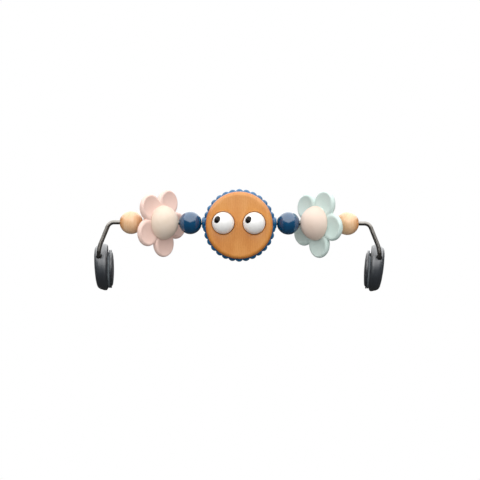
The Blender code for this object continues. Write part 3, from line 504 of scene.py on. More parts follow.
def bend(corner, before, after, radius, steps):
    """Lead the wire's open end to a corner and spin it round the bend there."""
    back = (before - corner).normalized()
    ahead = (after - corner).normalized()
    half = back.angle(ahead) / 2
    start = corner + back * (radius / math.tan(half))
    centre = corner + (back + ahead).normalized() * (radius / math.sin(half))
    bpy.ops.mesh.spin(
        steps=steps,
        angle=math.pi - 2 * half,
        center=centre,
        axis=back.cross(ahead),
    )
    return start, corner + ahead * (radius / math.tan(half))


def extruded(run):
    bpy.ops.mesh.extrude_region_move(TRANSFORM_OT_translate={"value": run})


def build_rod():
    """Half of the wire, led from the middle through its three bends, and its mirror image."""
    clip = pivot("clip_right_swivel")
    stub = Vector(JOINTS["clip_right_swivel"]["axis"]).normalized()
    shoulder_x = span("end_bead_right", 0)[1] + SHOULDER_LENGTH
    ankle = Vector((clip.x, ROD_PLACE.y, ROD_PLACE.z - LEG_DROP - FOOT_DROP))
    knee = Vector((clip.x - FOOT_DROP * math.tan(FOOT_LEAN), ROD_PLACE.y, ankle.z + FOOT_DROP))
    shoulder = Vector((shoulder_x, ROD_PLACE.y, ROD_PLACE.z))
    low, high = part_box("retaining_ring_right")
    ring = (low + high) / 2
    end = ring + stub * STUB_PAST_RING
    corners = [ROD_PLACE, shoulder, knee, ankle, end]
    radii = {1: SHOULDER_RADIUS, 2: KNEE_RADIUS, 3: ANKLE_RADIUS}
    bpy.ops.object.select_all(action="DESELECT")
    bpy.ops.mesh.primitive_circle_add(
        vertices=40, radius=ROD_RADIUS, location=ROD_PLACE, rotation=(0.0, RIGHT_ANGLE, 0.0)
    )
    rod = moved(named("bent_wire"), Matrix.Identity(4))
    edit(rod)
    place = corners[0]
    for number, radius in radii.items():
        before, corner, after = corners[number - 1:number + 2]
        back = (before - corner).normalized()
        half = back.angle(after - corner) / 2
        start = corner + back * (radius / math.tan(half))
        extruded(start - place)
        place = bend(corner, before, after, radius, 14)[1]
    extruded(end - place)
    bpy.ops.mesh.edge_face_add()
    bpy.ops.mesh.bevel(offset=ROD_RADIUS / 6, segments=2, affect="EDGES")
    close_edit()
    applied(rod, "MIRROR", use_axis=(True, False, False), merge_threshold=WELD)
    face_out(rod)
    dress(rod, "rod", ROD_STEEL)


STUB_PAST_RING = 0.0014

# Beads

MOUTH_EDGE = 0.0011


def bead(name, radius):
    """Turned ball with a bore along X and softened mouths."""
    start = math.asin((BORE_RADIUS + MOUTH_EDGE) / radius)
    ball = arc((0.0, 0.0), radius, start - RIGHT_ANGLE, RIGHT_ANGLE - start, 44)
    depth = radius * math.cos(start) - MOUTH_EDGE * 0.55
    mouth = (BORE_RADIUS + MOUTH_EDGE * 0.3, depth + MOUTH_EDGE * 0.45)
    outline = [(BORE_RADIUS, -depth), (mouth[0], -mouth[1])] + ball + [mouth, (BORE_RADIUS, depth)]
    return moved(turned(name, outline, 80), TO_X)


def build_beads():
    for side in SIDES:
        for kind, name, material in (
            ("end_bead", "turned_end_bead", BEAD_WOOD[side]),
            ("blue_bead", "enamelled_bead", BLUE_ENAMEL),
        ):
            node = f"{kind}_{side}"
            low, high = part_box(node)
            middle = (low + high) / 2
            piece = bead(f"{name}_{side}", (high.y - low.y) / 2)
            dress(moved(piece, Matrix.Translation(middle)), node, material)


# Flowers

PETAL_COUNT = 5
PETAL_RADIUS = 0.0175
PETAL_CENTRE = 0.0275
PETAL_THICKNESS = 0.0076
DISH_CENTRE = 0.0305
DISH_RADIUS = 0.0135
DISH_DEPTH = 0.0021
FLOWER_TURN = math.radians(48)
FLOWER_PHASES = {"left": math.radians(64.5), "right": math.radians(61.0)}
SLEEVE_BORE = BORE_RADIUS + 0.0012 + CLEARANCE
PETAL_VOXEL = 0.0005
SEAM_EDGE = 0.0005


def petal():
    """One petal: a disc with a fully rounded rim, dished on both faces."""
    bpy.ops.object.select_all(action="DESELECT")
    bpy.ops.mesh.primitive_cylinder_add(
        vertices=72, radius=PETAL_RADIUS, depth=PETAL_THICKNESS, location=(PETAL_CENTRE, 0.0, 0.0)
    )
    made = moved(named("petal"), Matrix.Identity(4))
    edit(made, "DESELECT")
    bpy.ops.mesh.select_mode(type="EDGE")
    close_edit()
    points = made.data.vertices
    for edge in made.data.edges:
        first, second = (points[index].co.z for index in edge.vertices)
        edge.select = abs(first - second) < WELD
    bpy.ops.object.mode_set(mode="EDIT")
    bpy.ops.mesh.bevel(offset=PETAL_THICKNESS * 0.47, segments=8, affect="EDGES")
    bpy.ops.mesh.select_mode(type="VERT")
    close_edit()
    hollow = (DISH_RADIUS**2 + DISH_DEPTH**2) / (2 * DISH_DEPTH)
    for face in (1, -1):
        height = face * (PETAL_THICKNESS / 2 - DISH_DEPTH + hollow)
        bpy.ops.object.select_all(action="DESELECT")
        bpy.ops.mesh.primitive_uv_sphere_add(
            segments=128, ring_count=64, radius=hollow, location=(DISH_CENTRE, 0.0, height)
        )
        cut(made, bpy.context.object)
    return made


def petal_disc(name, hub):
    """Five petals round a hub, melted into one soft moulding."""
    first = petal()
    petals = [first]
    for number in range(1, PETAL_COUNT):
        turn = Matrix.Rotation(math.tau * number / PETAL_COUNT, 4, "Z")
        petals.append(copied(first, turn))
    bpy.ops.object.select_all(action="DESELECT")
    bpy.ops.mesh.primitive_cylinder_add(vertices=96, radius=hub, depth=PETAL_THICKNESS)
    petals.append(bpy.context.object)
    made = joined(petals)
    made.name = name
    made.data.remesh_voxel_size = PETAL_VOXEL
    pick(made)
    bpy.ops.object.voxel_remesh()
    return applied(made, "SMOOTH", factor=0.5, iterations=14)


def half_ball(name, radius, face):
    """Half of the flower's ball with a softened lip at its seam."""
    base = PETAL_THICKNESS / 2 + CLEARANCE
    rise = math.asin((base + SEAM_EDGE) / radius)
    lip = arc((radius * math.cos(rise) - SEAM_EDGE, base + SEAM_EDGE), SEAM_EDGE, -RIGHT_ANGLE, rise, 4)
    dome = arc((0.0, 0.0), radius, rise, RIGHT_ANGLE, 32)[1:-1]
    outline = [(0.0, base)] + lip + dome + [(0.0, radius)]
    return turned(name, [(out, face * along) for out, along in outline])


def build_flowers():
    disc = petal_disc("petal_disc_master", FLOWER_BALL_RADIUS * 0.95)
    for side, sign in SIDES.items():
        middle = pivot(f"flower_{side}_spin")
        across = Vector((math.cos(FLOWER_TURN), -sign * math.sin(FLOWER_TURN), 0.0))
        upward = Vector((0.0, 0.0, 1.0))
        turn = Matrix((across, upward, across.cross(upward))).transposed().to_4x4()
        phase = Matrix.Rotation(FLOWER_PHASES[side], 4, "Z")
        to_place = Matrix.Translation(middle)
        petals = copied(disc, turn @ phase)
        petals.name = f"moulded_petals_{side}"
        cut(petals, rod_tool(SLEEVE_BORE, FLOWER_BALL_RADIUS + OVERRUN))
        dress(moved(petals, to_place), f"petal_disc_{side}", PETAL_PLASTIC[side])
        for face, place in ((1, "front"), (-1, "back")):
            dome = moved(half_ball(f"{place}_half_ball_{side}", FLOWER_BALL_RADIUS, face), turn)
            cut(dome, rod_tool(SLEEVE_BORE, FLOWER_BALL_RADIUS + OVERRUN))
            dress(moved(dome, to_place), f"{place}_dome_{side}", BALL_PLASTIC[side])
    bpy.data.objects.remove(disc)


FLOWER_BALL_RADIUS = max(
    (vertex.co - pivot("flower_left_spin")).length
    for vertex in frame["nodes"]["front_dome_left"].data.vertices
)

# Head

SCALLOP_COUNT = 30
SCALLOP_RADIUS = 0.0056
SCALLOP_POINTS = 16
CORE_RADIUS = 0.0469
CORE_EDGE = 0.0036
BOSS_EDGE = 0.0028
DISC_EDGE = 0.0050
DISC_BACK_EDGE = 0.0009
EDGE_STEPS = 8
EYE_RADIUS = 0.0141
SOCKET_GAP = 0.0007
SOCKET_DEPTH = 0.0060
SOCKET_EDGE = 0.0016
EYE_SKIRT_EDGE = 0.0006
PIN_HOLE = 0.0019
WASHER_BORE = 0.0055
COUNTERBORE_DEPTH = 0.0035
PIN_GRIP = 0.0070
PUPIL_RADIUS = 0.0047
PUPIL_DEPTH = 0.0030
PUPIL_EDGE = 0.0002
GAZE_ANGLE = math.radians(41)
GAZE_DIRECTION = math.radians(151.5)


def build_core():
    """Scalloped core: a ring of scallops drawn in, rounded over at both faces, with its bosses."""
    front, back = span("scalloped_core", 1)
    half = (back - front) / 2
    count = SCALLOP_COUNT * SCALLOP_POINTS
    bpy.ops.object.select_all(action="DESELECT")
    bpy.ops.mesh.primitive_circle_add(vertices=count, radius=CORE_RADIUS)
    core = named("scalloped_moulding")
    middle = CORE_RADIUS - SCALLOP_RADIUS
    for vertex in core.data.vertices:
        turn = math.atan2(vertex.co.x, vertex.co.y)
        pitch = math.tau / SCALLOP_COUNT
        off_peak = (turn + pitch / 2) % pitch - pitch / 2
        across = middle * math.sin(off_peak)
        reach = middle * math.cos(off_peak) + math.sqrt(SCALLOP_RADIUS**2 - across**2)
        vertex.co *= reach / vertex.co.length
    edge = arc((CORE_RADIUS - CORE_EDGE, half - CORE_EDGE), CORE_EDGE, 0.0, RIGHT_ANGLE, EDGE_STEPS)
    rings = [(out, -along) for out, along in reversed(edge)] + edge
    edit(core)
    first = rings[0][0] / CORE_RADIUS
    bpy.ops.transform.resize(value=(first, first, 1.0), center_override=(0.0, 0.0, 0.0))
    bpy.ops.transform.translate(value=(0.0, 0.0, rings[0][1]))
    bpy.ops.mesh.edge_face_add()
    for before, after in zip(rings, rings[1:]):
        extruded((0.0, 0.0, after[1] - before[1]))
        grow = after[0] / before[0]
        bpy.ops.transform.resize(value=(grow, grow, 1.0), center_override=(0.0, 0.0, 0.0))
    close_edit()
    face_out(core)
    moved(core, TO_Y)
    reach = span("scalloped_core", 0)[1]
    shaft = half * 0.98
    root = CORE_RADIUS * 0.85
    for sign in SIDES.values():
        corner = (shaft - BOSS_EDGE, reach - BOSS_EDGE)
        edge = arc(corner, BOSS_EDGE, 0.0, RIGHT_ANGLE, EDGE_STEPS)
        outline = [(0.0, root), (shaft, root)] + edge + [(0.0, reach)]
        boss = turned("boss", [(out, sign * along) for out, along in outline])
        united(core, shifted(moved(boss, TO_X), z=ROD_PLACE.z - HEAD_PLACE.z))
    bore = shifted(rod_tool(BORE_RADIUS, reach + OVERRUN), z=ROD_PLACE.z - HEAD_PLACE.z)
    cut(core, bore)
    dress(moved(core, Matrix.Translation(HEAD_PLACE)), "scalloped_core", CORE_PLASTIC)


def disc_outline(radius, thickness):
    """Wooden disc with its back at 0: a soft front edge and a small one behind."""
    edge = arc((radius - DISC_EDGE, thickness - DISC_EDGE), DISC_EDGE, 0.0, RIGHT_ANGLE, 14)
    back = arc((radius - DISC_BACK_EDGE, DISC_BACK_EDGE), DISC_BACK_EDGE, -RIGHT_ANGLE, 0.0, 4)
    return [(0.0, 0.0)] + back + edge + [(0.0, thickness)]


def socket_tool(depth):
    """Space for an eye, measured back from the face: rounded mouth, pin hole and counterbore."""
    radius = EYE_RADIUS + SOCKET_GAP
    mouth = arc((radius + SOCKET_EDGE, -SOCKET_EDGE), SOCKET_EDGE, RIGHT_ANGLE, math.pi, 8)
    outline = [(0.0, OVERRUN), (radius + SOCKET_EDGE, OVERRUN)] + mouth
    outline += [
        (radius, -SOCKET_DEPTH),
        (PIN_HOLE, -SOCKET_DEPTH),
        (PIN_HOLE, COUNTERBORE_DEPTH - depth),
        (WASHER_BORE, COUNTERBORE_DEPTH - depth),
        (WASHER_BORE, -depth - OVERRUN),
        (0.0, -depth - OVERRUN),
    ]
    return turned("socket", outline)


def build_discs():
    radius = (FACE_HIGH - FACE_LOW) / 2
    face = turned("turned_face", disc_outline(radius, FACE_BACK - FACE_FRONT), 160)
    moved(face, Matrix.Translation((0.0, FACE_BACK, HEAD_PLACE.z)) @ TO_FRONT)
    for side in SIDES:
        place = Matrix.Translation(pivot(f"eye_{side}_turn")) @ TO_FRONT
        cut(face, moved(socket_tool(FACE_BACK - FACE_FRONT), place))
    dress(face, "face_disc", FACE_WOOD)
    front, back = span("back_disc", 1)
    rear = turned("turned_back", disc_outline(radius, back - front), 160)
    moved(rear, Matrix.Translation((0.0, front, HEAD_PLACE.z)) @ TO_Y)
    dress(rear, "back_disc", FACE_WOOD)


def build_eyes():
    """Domed eyes with a pocket for the pupil, which looks up and aside."""
    aside = math.sin(GAZE_ANGLE)
    gaze = Vector((
        aside * math.cos(GAZE_DIRECTION),
        -math.cos(GAZE_ANGLE),
        aside * math.sin(GAZE_DIRECTION),
    ))
    aim = gaze.to_track_quat("Z", "Y").to_matrix().to_4x4()
    back = CLEARANCE - SOCKET_DEPTH
    for side in SIDES:
        place = Matrix.Translation(pivot(f"eye_{side}_turn"))
        dome = arc((0.0, 0.0), EYE_RADIUS, 0.0, RIGHT_ANGLE, 32)[:-1]
        corner = (EYE_RADIUS - EYE_SKIRT_EDGE, back + EYE_SKIRT_EDGE)
        skirt = arc(corner, EYE_SKIRT_EDGE, -RIGHT_ANGLE, 0.0, 4)
        outline = [(0.0, back + PIN_GRIP), (PIN_HOLE, back + PIN_GRIP), (PIN_HOLE, back)]
        outline += skirt + dome + [(0.0, EYE_RADIUS)]
        eye = moved(turned(f"domed_eye_{side}", outline), TO_FRONT)
        floor = EYE_RADIUS - PUPIL_DEPTH
        pocket = PUPIL_RADIUS + CLEARANCE / 2
        tool = [
            (0.0, floor - CLEARANCE),
            (pocket, floor - CLEARANCE),
            (pocket, EYE_RADIUS + OVERRUN),
            (0.0, EYE_RADIUS + OVERRUN),
        ]
        cut(eye, moved(turned("pocket", tool, 64), aim))
        dress(moved(eye, place), f"eye_{side}", EYE_PLASTIC)
        spread = math.asin((PUPIL_RADIUS - PUPIL_EDGE) / EYE_RADIUS)
        crown = arc((0.0, 0.0), EYE_RADIUS, RIGHT_ANGLE - spread, RIGHT_ANGLE, 10)[:-1]
        rim_start = EYE_RADIUS * math.cos(spread) - PUPIL_EDGE
        outline = [(0.0, floor), (PUPIL_RADIUS, floor), (PUPIL_RADIUS, rim_start)]
        pupil = turned(f"inset_pupil_{side}", outline + crown + [(0.0, EYE_RADIUS)], 64)
        dress(moved(pupil, place @ aim), f"pupil_{side}", PUPIL_PLASTIC)


# Clips: each is drawn as the right-hand one, with X outwards and the stub's axis at the origin,
# and u measured outwards from the slot's face

CLIP_RADIUS = 0.0306
CLIP_THICKNESS = 0.0174
CLIP_TAPER = math.radians(3.3)
SLOT_EDGE = 0.0032
# Each pair is a share of the clip's radius and the drop of its domed outer face there.
DOME = ((1.0, 0.0134), (0.970, 0.0095), (0.941, 0.0065), (0.902, 0.0045), (0.856, 0.0030))
COVER_DOME = ((0.74, 0.0017), (0.5, 0.0007), (0.0, 0.0))
COVER_SHARE = COVER_DOME[0][0]
COVER_WALL = 0.0016
SEAM_CHAMFER = 0.0003
SLOT_WALL = 0.0034
ROOT_DEPTH = 0.0014
LEDGE_WIDTH = 0.0018
POST_RADIUS = 0.0032
POST_ACROSS = CLIP_RADIUS * 0.38
POST_DROP = CLIP_RADIUS * 0.41
SCREW_HOLE = 0.0015
SCREW_HEAD_HOLE = 0.0027
SCREW_HEAD = 0.0012
SCREW_LENGTH = 0.0106
STUB_PLACE = 0.0104
STUB_TILT = math.radians(30)
BUSH_BORE = BORE_RADIUS + 0.0006 + CLEARANCE
STUB_MOUTH = 0.0006
SLOT_GAP = 0.0021
PAD_THICKNESS = 0.0009
PAD_INSET = 0.0003
PAD_EDGE = 0.00025
LIP_RISE = SLOT_GAP - CLEARANCE
LIP_WIDTH = 0.0010
BODY_PAD_RADIUS = CLIP_RADIUS * 0.557
BODY_PAD_DROP = CLIP_RADIUS * 0.295
JAW_RADIUS = CLIP_RADIUS - 0.0055
JAW_DROP = 0.0025
JAW_THICKNESS = 0.0015
JAW_EDGE = 0.0004
JAW_FRONT = -(SLOT_GAP + PAD_THICKNESS + CLEARANCE)
JAW_BACK = JAW_FRONT - JAW_THICKNESS
CAP_RADIUS = JAW_RADIUS * 0.88
CAP_STEP = 0.0013
CAP_RISE = 0.0030
CAP_LIP = 0.0004
# Each pair is a share of the cap's radius and the share of its dome's height lost there.
CAP_DOME = ((0.0, 0.0), (0.4, 0.14), (0.74, 0.48), (1.0, 1.0))
HINGE_RISE = JAW_RADIUS - JAW_DROP - 0.0060
HINGE_PLACE = 0.0066
HINGE_PIN_HOLE = 0.0016
BARREL_RADIUS = 0.0030
BARREL_WIDTH = 0.0100
ARM_THICKNESS = 0.0048
TAIL_THICKNESS = 0.0026
TAIL_REACH = 0.0078
LUG_THICKNESS = 0.0030
LUG_GAP = 0.0006
LUG_MARGIN = 0.0020
WINDOW_BELOW = ARM_THICKNESS / 2 + 0.0008
WINDOW_ABOVE = ARM_THICKNESS / 2 + 0.0034
SPRING_OUT = HINGE_PLACE + 0.0048
SPRING_LENGTH = 0.0135
SEAT_HALF = 0.0037
SEAT_TOP = HINGE_RISE - BARREL_RADIUS - SPRING_LENGTH - 2 * CLEARANCE
SEAT_THICKNESS = 0.0030
RIB_WIDTH = 0.0020
CURVE_STEPS = 6


def clip_frame(side):
    """Frame of a clip in the model; the left one is mirrored."""
    sign = SIDES[side]
    outward = -Vector(MOUNTS[f"{side}_housing_pad"]["axis"])
    rearward = sign * Vector(JOINTS[f"jaw_{side}_open"]["axis"])
    upward = (sign * outward).cross(rearward)
    turn = Matrix((outward, rearward, upward)).transposed().to_4x4()
    return Matrix.Translation(pivot(f"clip_{side}_swivel")) @ turn


def smooth_curve(points):
    """Points on a smooth curve through all but the first and the last of the given ones."""
    made = []
    for before, start, end, after in zip(points, points[1:], points[2:], points[3:]):
        leave = (Vector(end) - Vector(before)) / 2
        arrive = (Vector(after) - Vector(start)) / 2
        for step in range(CURVE_STEPS):
            t = step / CURVE_STEPS
            made.append(
                tuple(
                    (2 * t**3 - 3 * t**2 + 1) * Vector(start)
                    + (t**3 - 2 * t**2 + t) * leave
                    + (3 * t**2 - 2 * t**3) * Vector(end)
                    + (t**3 - t**2) * arrive
                )
            )
    return made + [tuple(points[-2])]


def clip_turned(name, outline, steps=120):
    """Shape turned round the clip's axis from (out, u) points, leaning by the housing's taper."""
    made = moved(turned(name, outline, steps), TO_X)
    for vertex in made.data.vertices:
        vertex.co.x += vertex.co.x / CLIP_THICKNESS * vertex.co.z * math.tan(CLIP_TAPER)
    return shifted(made, x=-STUB_PLACE)


def clip_round(name, outline, y=0.0, z=0.0, steps=64):
    """Shape turned round an axis across the slot, half a step off the clip's seams."""
    half_step = Matrix.Rotation(math.pi / steps, 4, "Z")
    return shifted(moved(turned(name, outline, steps), TO_X @ half_step), x=-STUB_PLACE, y=y, z=z)


def clip_block(u_span, half, z_span, y=0.0):
    low = (u_span[0] - STUB_PLACE, y - half, z_span[0])
    high = (u_span[1] - STUB_PLACE, y + half, z_span[1])
    return block("block", low, high)


def disc(radius, start, end, edge=0.0):
    """Outline of a flat disc along u with softened rims."""
    if not edge:
        return [(0.0, start), (radius, start), (radius, end), (0.0, end)]
    near = arc((radius - edge, start + edge), edge, -RIGHT_ANGLE, 0.0, 3)
    far = arc((radius - edge, end - edge), edge, 0.0, RIGHT_ANGLE, 3)
    return [(0.0, start)] + near + far + [(0.0, end)]


def lug_middle():
    return BARREL_WIDTH / 2 + LUG_GAP + LUG_THICKNESS / 2


def screw_places():
    return [(sign * POST_ACROSS, -POST_DROP) for sign in SIDES.values()]


def housing_profile():
    """Outer faces of the housing as (out, u) points: from the slot's edge to the cover, and on."""
    points = [
        (CLIP_RADIUS * share, CLIP_THICKNESS - drop) for share, drop in DOME + COVER_DOME
    ]
    level = (CLIP_RADIUS, 0.0)
    beyond = (-points[-2][0], points[-2][1])
    curve = smooth_curve([level] + points + [beyond])
    seam = CURVE_STEPS * len(DOME)
    return curve[:seam + 1], curve[seam:]


def clip_body():
    """Cup of the housing with its slot wall, lugs, spring seat and openings."""
    rim = housing_profile()[0]
    cover, lip = rim[-1]
    ledge = lip - COVER_WALL - CLEARANCE
    cavity = cover - LEDGE_WIDTH
    near = arc((CLIP_RADIUS - SLOT_EDGE, SLOT_EDGE), SLOT_EDGE, -RIGHT_ANGLE, 0.0, 10)
    outline = [(0.0, 0.0)] + near + rim[:-1]
    outline += [(cover + SEAM_CHAMFER, lip - SEAM_CHAMFER / 4), (cover, lip - SEAM_CHAMFER)]
    outline += [(cover, ledge), (cavity, ledge), (cavity, SLOT_WALL), (0.0, SLOT_WALL)]
    body = clip_turned("moulded_housing", outline)
    saddle = HINGE_PIN_HOLE
    lug_top = HINGE_PLACE + HINGE_PIN_HOLE - CLEARANCE
    inner = SLOT_WALL - ROOT_DEPTH
    lug_z = (HINGE_RISE - saddle - LUG_MARGIN, HINGE_RISE + saddle + LUG_MARGIN)
    for sign in SIDES.values():
        lug = clip_block((inner, lug_top), LUG_THICKNESS / 2, lug_z, sign * lug_middle())
        united(body, lug)
        slot = clip_block(
            (HINGE_PLACE - saddle, lug_top + OVERRUN),
            (LUG_THICKNESS + LUG_GAP) / 2,
            (HINGE_RISE - saddle, HINGE_RISE + saddle),
            sign * lug_middle(),
        )
        cut(body, slot)
    seat_u = (inner, SPRING_OUT + SEAT_HALF)
    united(body, clip_block(seat_u, SEAT_HALF, (SEAT_TOP - SEAT_THICKNESS, SEAT_TOP)))
    window_z = (HINGE_RISE - WINDOW_BELOW, HINGE_RISE + WINDOW_ABOVE)
    window_half = BARREL_WIDTH / 2 + CLEARANCE
    cut(body, clip_block((-OVERRUN, SLOT_WALL + ROOT_DEPTH), window_half, window_z))
    bed = disc(BODY_PAD_RADIUS + CLEARANCE, -OVERRUN, PAD_THICKNESS + CLEARANCE)
    cut(body, clip_round("bed", bed, z=-BODY_PAD_DROP, steps=96))
    for y, z in screw_places():
        bottom = PAD_THICKNESS + 2 * CLEARANCE
        hole = [
            (0.0, 0.0),
            (SCREW_HEAD_HOLE, 0.0),
            (SCREW_HEAD_HOLE, bottom),
            (SCREW_HOLE, bottom + SCREW_HEAD),
            (SCREW_HOLE, SLOT_WALL + ROOT_DEPTH),
            (0.0, SLOT_WALL + ROOT_DEPTH),
        ]
        cut(body, clip_round("hole", hole, y, z, 32))
    mouth = arc((BUSH_BORE + STUB_MOUTH, CLIP_RADIUS - STUB_MOUTH), STUB_MOUTH, math.pi, RIGHT_ANGLE, 4)
    bore = [(0.0, cavity - OVERRUN), (BUSH_BORE, cavity - OVERRUN)] + mouth
    bore += [(BUSH_BORE + STUB_MOUTH, CLIP_RADIUS + OVERRUN), (0.0, CLIP_RADIUS + OVERRUN)]
    cut(body, moved(turned("bore", bore, 48), stub_turn()))
    return body


def stub_turn():
    """Turn from Z to the stub's direction out of the clip, half a step off the clip's seams."""
    outward = Vector((0.0, -math.cos(STUB_TILT), math.sin(STUB_TILT)))
    half_step = Matrix.Rotation(math.pi / 48, 4, "Z")
    return outward.to_track_quat("Z", "Y").to_matrix().to_4x4() @ half_step


def cover_root(y, z):
    """Place in the cover's wall where a post or rib at a point of the slot's face ends."""
    reach = math.hypot(y, z) / CLIP_RADIUS
    outer, inner, middle = COVER_DOME
    if reach < inner[0]:
        drop = inner[1] * reach / inner[0]
    else:
        drop = inner[1] + (outer[1] - inner[1]) * (reach - inner[0]) / (outer[0] - inner[0])
    level = CLIP_THICKNESS - drop - COVER_WALL
    return level * (1.0 + z * math.tan(CLIP_TAPER) / CLIP_THICKNESS) + 2 * CLEARANCE


def clip_cover():
    """Domed cover with its screw posts and the ribs over the hinge pin."""
    dome = housing_profile()[1]
    edge = dome[0][0] - CLEARANCE
    rim = dome[0][1]
    dome = [(edge, rim - SEAM_CHAMFER), (edge - SEAM_CHAMFER, rim)] + dome[2:]
    under = [(edge, rim - COVER_WALL)]
    under += [(out, along - COVER_WALL) for out, along in dome[3::2]]
    cover = clip_turned("moulded_cover", under[::-1] + dome)
    for y, z in screw_places():
        top = cover_root(y, z)
        united(cover, clip_round("post", disc(POST_RADIUS, SLOT_WALL + CLEARANCE, top), y, z))
        tip = PAD_THICKNESS + SCREW_LENGTH + 2 * CLEARANCE
        cut(cover, clip_round("pilot", disc(SCREW_HOLE, SLOT_WALL - ROOT_DEPTH, tip), y, z, 32))
    for sign in SIDES.values():
        rib = clip_block(
            (HINGE_PLACE + HINGE_PIN_HOLE, cover_root(lug_middle(), HINGE_RISE)),
            LUG_THICKNESS / 2 - CLEARANCE,
            (HINGE_RISE - RIB_WIDTH / 2, HINGE_RISE + RIB_WIDTH / 2),
            sign * lug_middle(),
        )
        united(cover, rib)
    return cover


def clip_jaw():
    """Jaw plate with a domed cap, its arm, hinge barrel and tail."""
    crown = JAW_BACK - CAP_RISE
    fall = CAP_RISE - CAP_STEP
    points = [(CAP_RADIUS * share, crown + fall * lost) for share, lost in CAP_DOME]
    points = [(-points[1][0], points[1][1])] + points + [(CAP_RADIUS, crown + fall + CAP_LIP)]
    outline = smooth_curve(points)[:-2]
    outline += [(CAP_RADIUS, crown + fall + CAP_LIP), (CAP_RADIUS, JAW_BACK)]
    plate = disc(JAW_RADIUS, JAW_BACK, JAW_FRONT, JAW_EDGE)[1:]
    jaw = clip_round("moulded_jaw", outline + plate, z=-JAW_DROP, steps=120)
    half = BARREL_WIDTH / 2
    arm_z = (HINGE_RISE - ARM_THICKNESS / 2, HINGE_RISE + ARM_THICKNESS / 2)
    united(jaw, clip_block((JAW_FRONT - JAW_THICKNESS / 2, HINGE_PLACE), half, arm_z))
    tail_z = (HINGE_RISE - BARREL_RADIUS, HINGE_RISE - BARREL_RADIUS + TAIL_THICKNESS)
    tail_u = (HINGE_PLACE, HINGE_PLACE + TAIL_REACH)
    united(jaw, clip_block(tail_u, half - CLEARANCE, tail_z))
    for radius, reach, combine in (
        (BARREL_RADIUS, half + CLEARANCE, united),
        (HINGE_PIN_HOLE, half + OVERRUN, cut),
    ):
        shaft = moved(turned("shaft", disc(radius, -reach, reach), 48), TO_Y)
        combine(jaw, shifted(shaft, x=HINGE_PLACE - STUB_PLACE, z=HINGE_RISE))
    return jaw


def clip_pads():
    """Rubber pads of the housing and of the jaw, which has a soft lip round its rim up to the hinge."""
    body_pad = disc(BODY_PAD_RADIUS, 0.0, PAD_THICKNESS, PAD_EDGE)
    body_pad = clip_round("housing_pad", body_pad, z=-BODY_PAD_DROP, steps=96)
    jaw_pad = disc(JAW_RADIUS - PAD_INSET, -SLOT_GAP - PAD_THICKNESS, LIP_RISE - SLOT_GAP, PAD_EDGE)
    lip_inside = JAW_RADIUS - PAD_INSET - LIP_WIDTH
    jaw_pad = jaw_pad[:-1] + [
        (lip_inside, LIP_RISE - SLOT_GAP),
        (lip_inside, -SLOT_GAP),
        (0.0, -SLOT_GAP),
    ]
    jaw_pad = clip_round("lipped_jaw_pad", jaw_pad, z=-JAW_DROP, steps=120)
    arm = ARM_THICKNESS / 2 + CLEARANCE
    hole = clip_block(
        (-SLOT_GAP - PAD_THICKNESS - OVERRUN, OVERRUN - SLOT_GAP),
        BARREL_WIDTH / 2 + CLEARANCE,
        (HINGE_RISE - arm, HINGE_RISE + arm),
    )
    above_hinge = (HINGE_RISE - arm, JAW_RADIUS)
    lip = clip_block((-SLOT_GAP, OVERRUN - SLOT_GAP), JAW_RADIUS, above_hinge)
    return body_pad, cut(jaw_pad, hole, lip)


def build_clips():
    body_pad, jaw_pad = clip_pads()
    masters = {
        "clip_body": (clip_body(), CLIP_PLASTIC),
        "clip_cover": (clip_cover(), CLIP_PLASTIC),
        "clip_jaw": (clip_jaw(), CLIP_PLASTIC),
        "body_pad": (body_pad, PAD_RUBBER),
        "jaw_pad": (jaw_pad, PAD_RUBBER),
    }
    for node, (master, material) in masters.items():
        for side in SIDES:
            piece = copied(master, clip_frame(side))
            piece.name = f"{master.name}_{side}"
            dress(piece, f"{node}_{side}", material)
        bpy.data.objects.remove(master)


# Small fittings inside, kept as the model has them

FITTINGS = {
    "flower_sleeve": BUSH_NYLON,
    "stub_bush": BUSH_NYLON,
    "eye_pin": FITTING_STEEL,
    "eye_washer": FITTING_STEEL,
    "retaining_ring": FITTING_STEEL,
    "clip_screw_front": FITTING_STEEL,
    "clip_screw_rear": FITTING_STEEL,
    "hinge_pin": FITTING_STEEL,
    "jaw_spring": FITTING_STEEL,
}


def dress_fittings():
    for kind, material in FITTINGS.items():
        for side in SIDES:
            mesh = frame["nodes"][f"{kind}_{side}"].data
            mesh.materials.clear()
            mesh.materials.append(material)


# Studio: a white tent that is open at the sides and below, with a broad light over the camera

TENT_FLARE = 0.42
TENT_EDGE = 0.10
ROOM_LEVEL = 0.74
DARK_LEVEL = 0.42
ROOM_MIRRORED = 2.0
DARK_MIRRORED = 0.05
LIGHT_RISE = math.radians(52)
LIGHT_SPREAD = math.radians(120)
LIGHT_LEVEL = 0.83
FLOOR_DROP = 0.45
FLOOR_SIZE = 2.4
FLOOR_TONE = 0.20
FLOOR_MIRRORED = 0.04


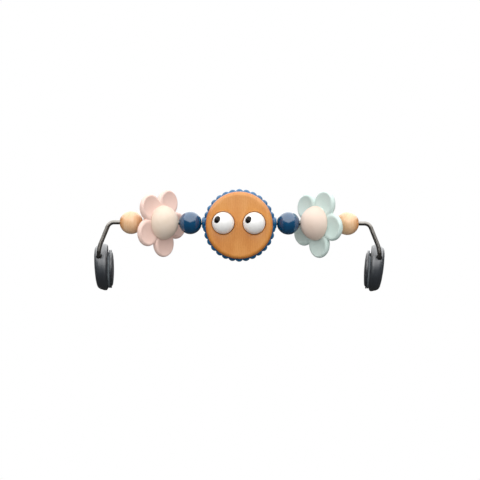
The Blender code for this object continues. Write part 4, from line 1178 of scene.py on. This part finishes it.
def make_world():
    """White for the camera; for other rays a white tent above and dark cloth at the sides and below."""
    world = bpy.data.worlds.new("studio")
    bpy.context.scene.world = world
    world.use_nodes = True
    tree = world.node_tree
    tree.nodes.clear()
    rays = add(tree, "LightPath", {}).outputs
    way = add(tree, "SeparateXYZ", {0: add(tree, "TexCoord", {}).outputs["Generated"]}).outputs
    aside = add(tree, "Math", {0: way["X"]}, operation="ABSOLUTE")
    height = {0: aside, 1: -TENT_FLARE, 2: way["Z"]}
    height = add(tree, "Math", height, operation="MULTIPLY_ADD")
    tent = add(tree, "MapRange", {0: height, 1: 0.0, 2: TENT_EDGE})
    mirrored = {0: rays["Is Glossy Ray"], 1: rays["Is Transmission Ray"]}
    mirrored = add(tree, "Math", mirrored, operation="MAXIMUM")
    white = add(tree, "MapRange", {0: mirrored, 3: ROOM_LEVEL, 4: ROOM_MIRRORED})
    dark = add(tree, "MapRange", {0: mirrored, 3: DARK_LEVEL, 4: DARK_MIRRORED})
    seen = add(tree, "MapRange", {0: tent, 3: dark, 4: white})
    strength = add(tree, "Math", {0: seen, 1: rays["Is Camera Ray"]}, operation="MAXIMUM")
    studio = add(tree, "Background", {"Color": grey(1.0), "Strength": strength})
    add(tree, "OutputWorld", {"Surface": studio})


def make_floor():
    """Pale paper that is lifted to white for the camera and keeps the object's shadow."""
    bpy.ops.object.select_all(action="DESELECT")
    bpy.ops.mesh.primitive_plane_add(size=FLOOR_SIZE, location=(0.0, 0.0, -FLOOR_DROP))
    floor = named("paper_floor")
    made = bpy.data.materials.new("pale_paper")
    made.use_nodes = True
    tree = made.node_tree
    tree.nodes.clear()
    rays = add(tree, "LightPath", {}).outputs
    tone = {0: rays["Is Glossy Ray"], 3: FLOOR_TONE, 4: FLOOR_MIRRORED}
    paper = add(tree, "BsdfDiffuse", {"Color": add(tree, "MapRange", tone)})
    lit = FLOOR_TONE * (ROOM_LEVEL + LIGHT_LEVEL * math.sin(LIGHT_RISE))
    lift = add(tree, "Math", {0: rays["Is Camera Ray"], 1: 1.0 - lit}, operation="MULTIPLY")
    glow = add(tree, "Emission", {"Color": grey(1.0), "Strength": lift})
    both = add(tree, "AddShader", {0: paper, 1: glow})
    add(tree, "OutputMaterial", {"Surface": both})
    floor.data.materials.append(made)


def make_light():
    """Broad soft light from above and in front, whose mirror image is the tent's own."""
    data = bpy.data.lights.new("broad_softbox", "SUN")
    data.angle = LIGHT_SPREAD
    data.energy = LIGHT_LEVEL * math.pi
    lamp = bpy.data.objects.new("broad_softbox", data)
    bpy.context.scene.collection.objects.link(lamp)
    source = Vector((0.0, -math.cos(LIGHT_RISE), math.sin(LIGHT_RISE)))
    lamp.matrix_world = source.to_track_quat("Z", "Y").to_matrix().to_4x4()
    lamp.visible_glossy = False


make_world()
make_floor()
make_light()
build_rod()
build_beads()
build_flowers()
build_core()
build_discs()
build_eyes()
build_clips()
dress_fittings()
bpy.context.scene.view_settings.view_transform = "Standard"
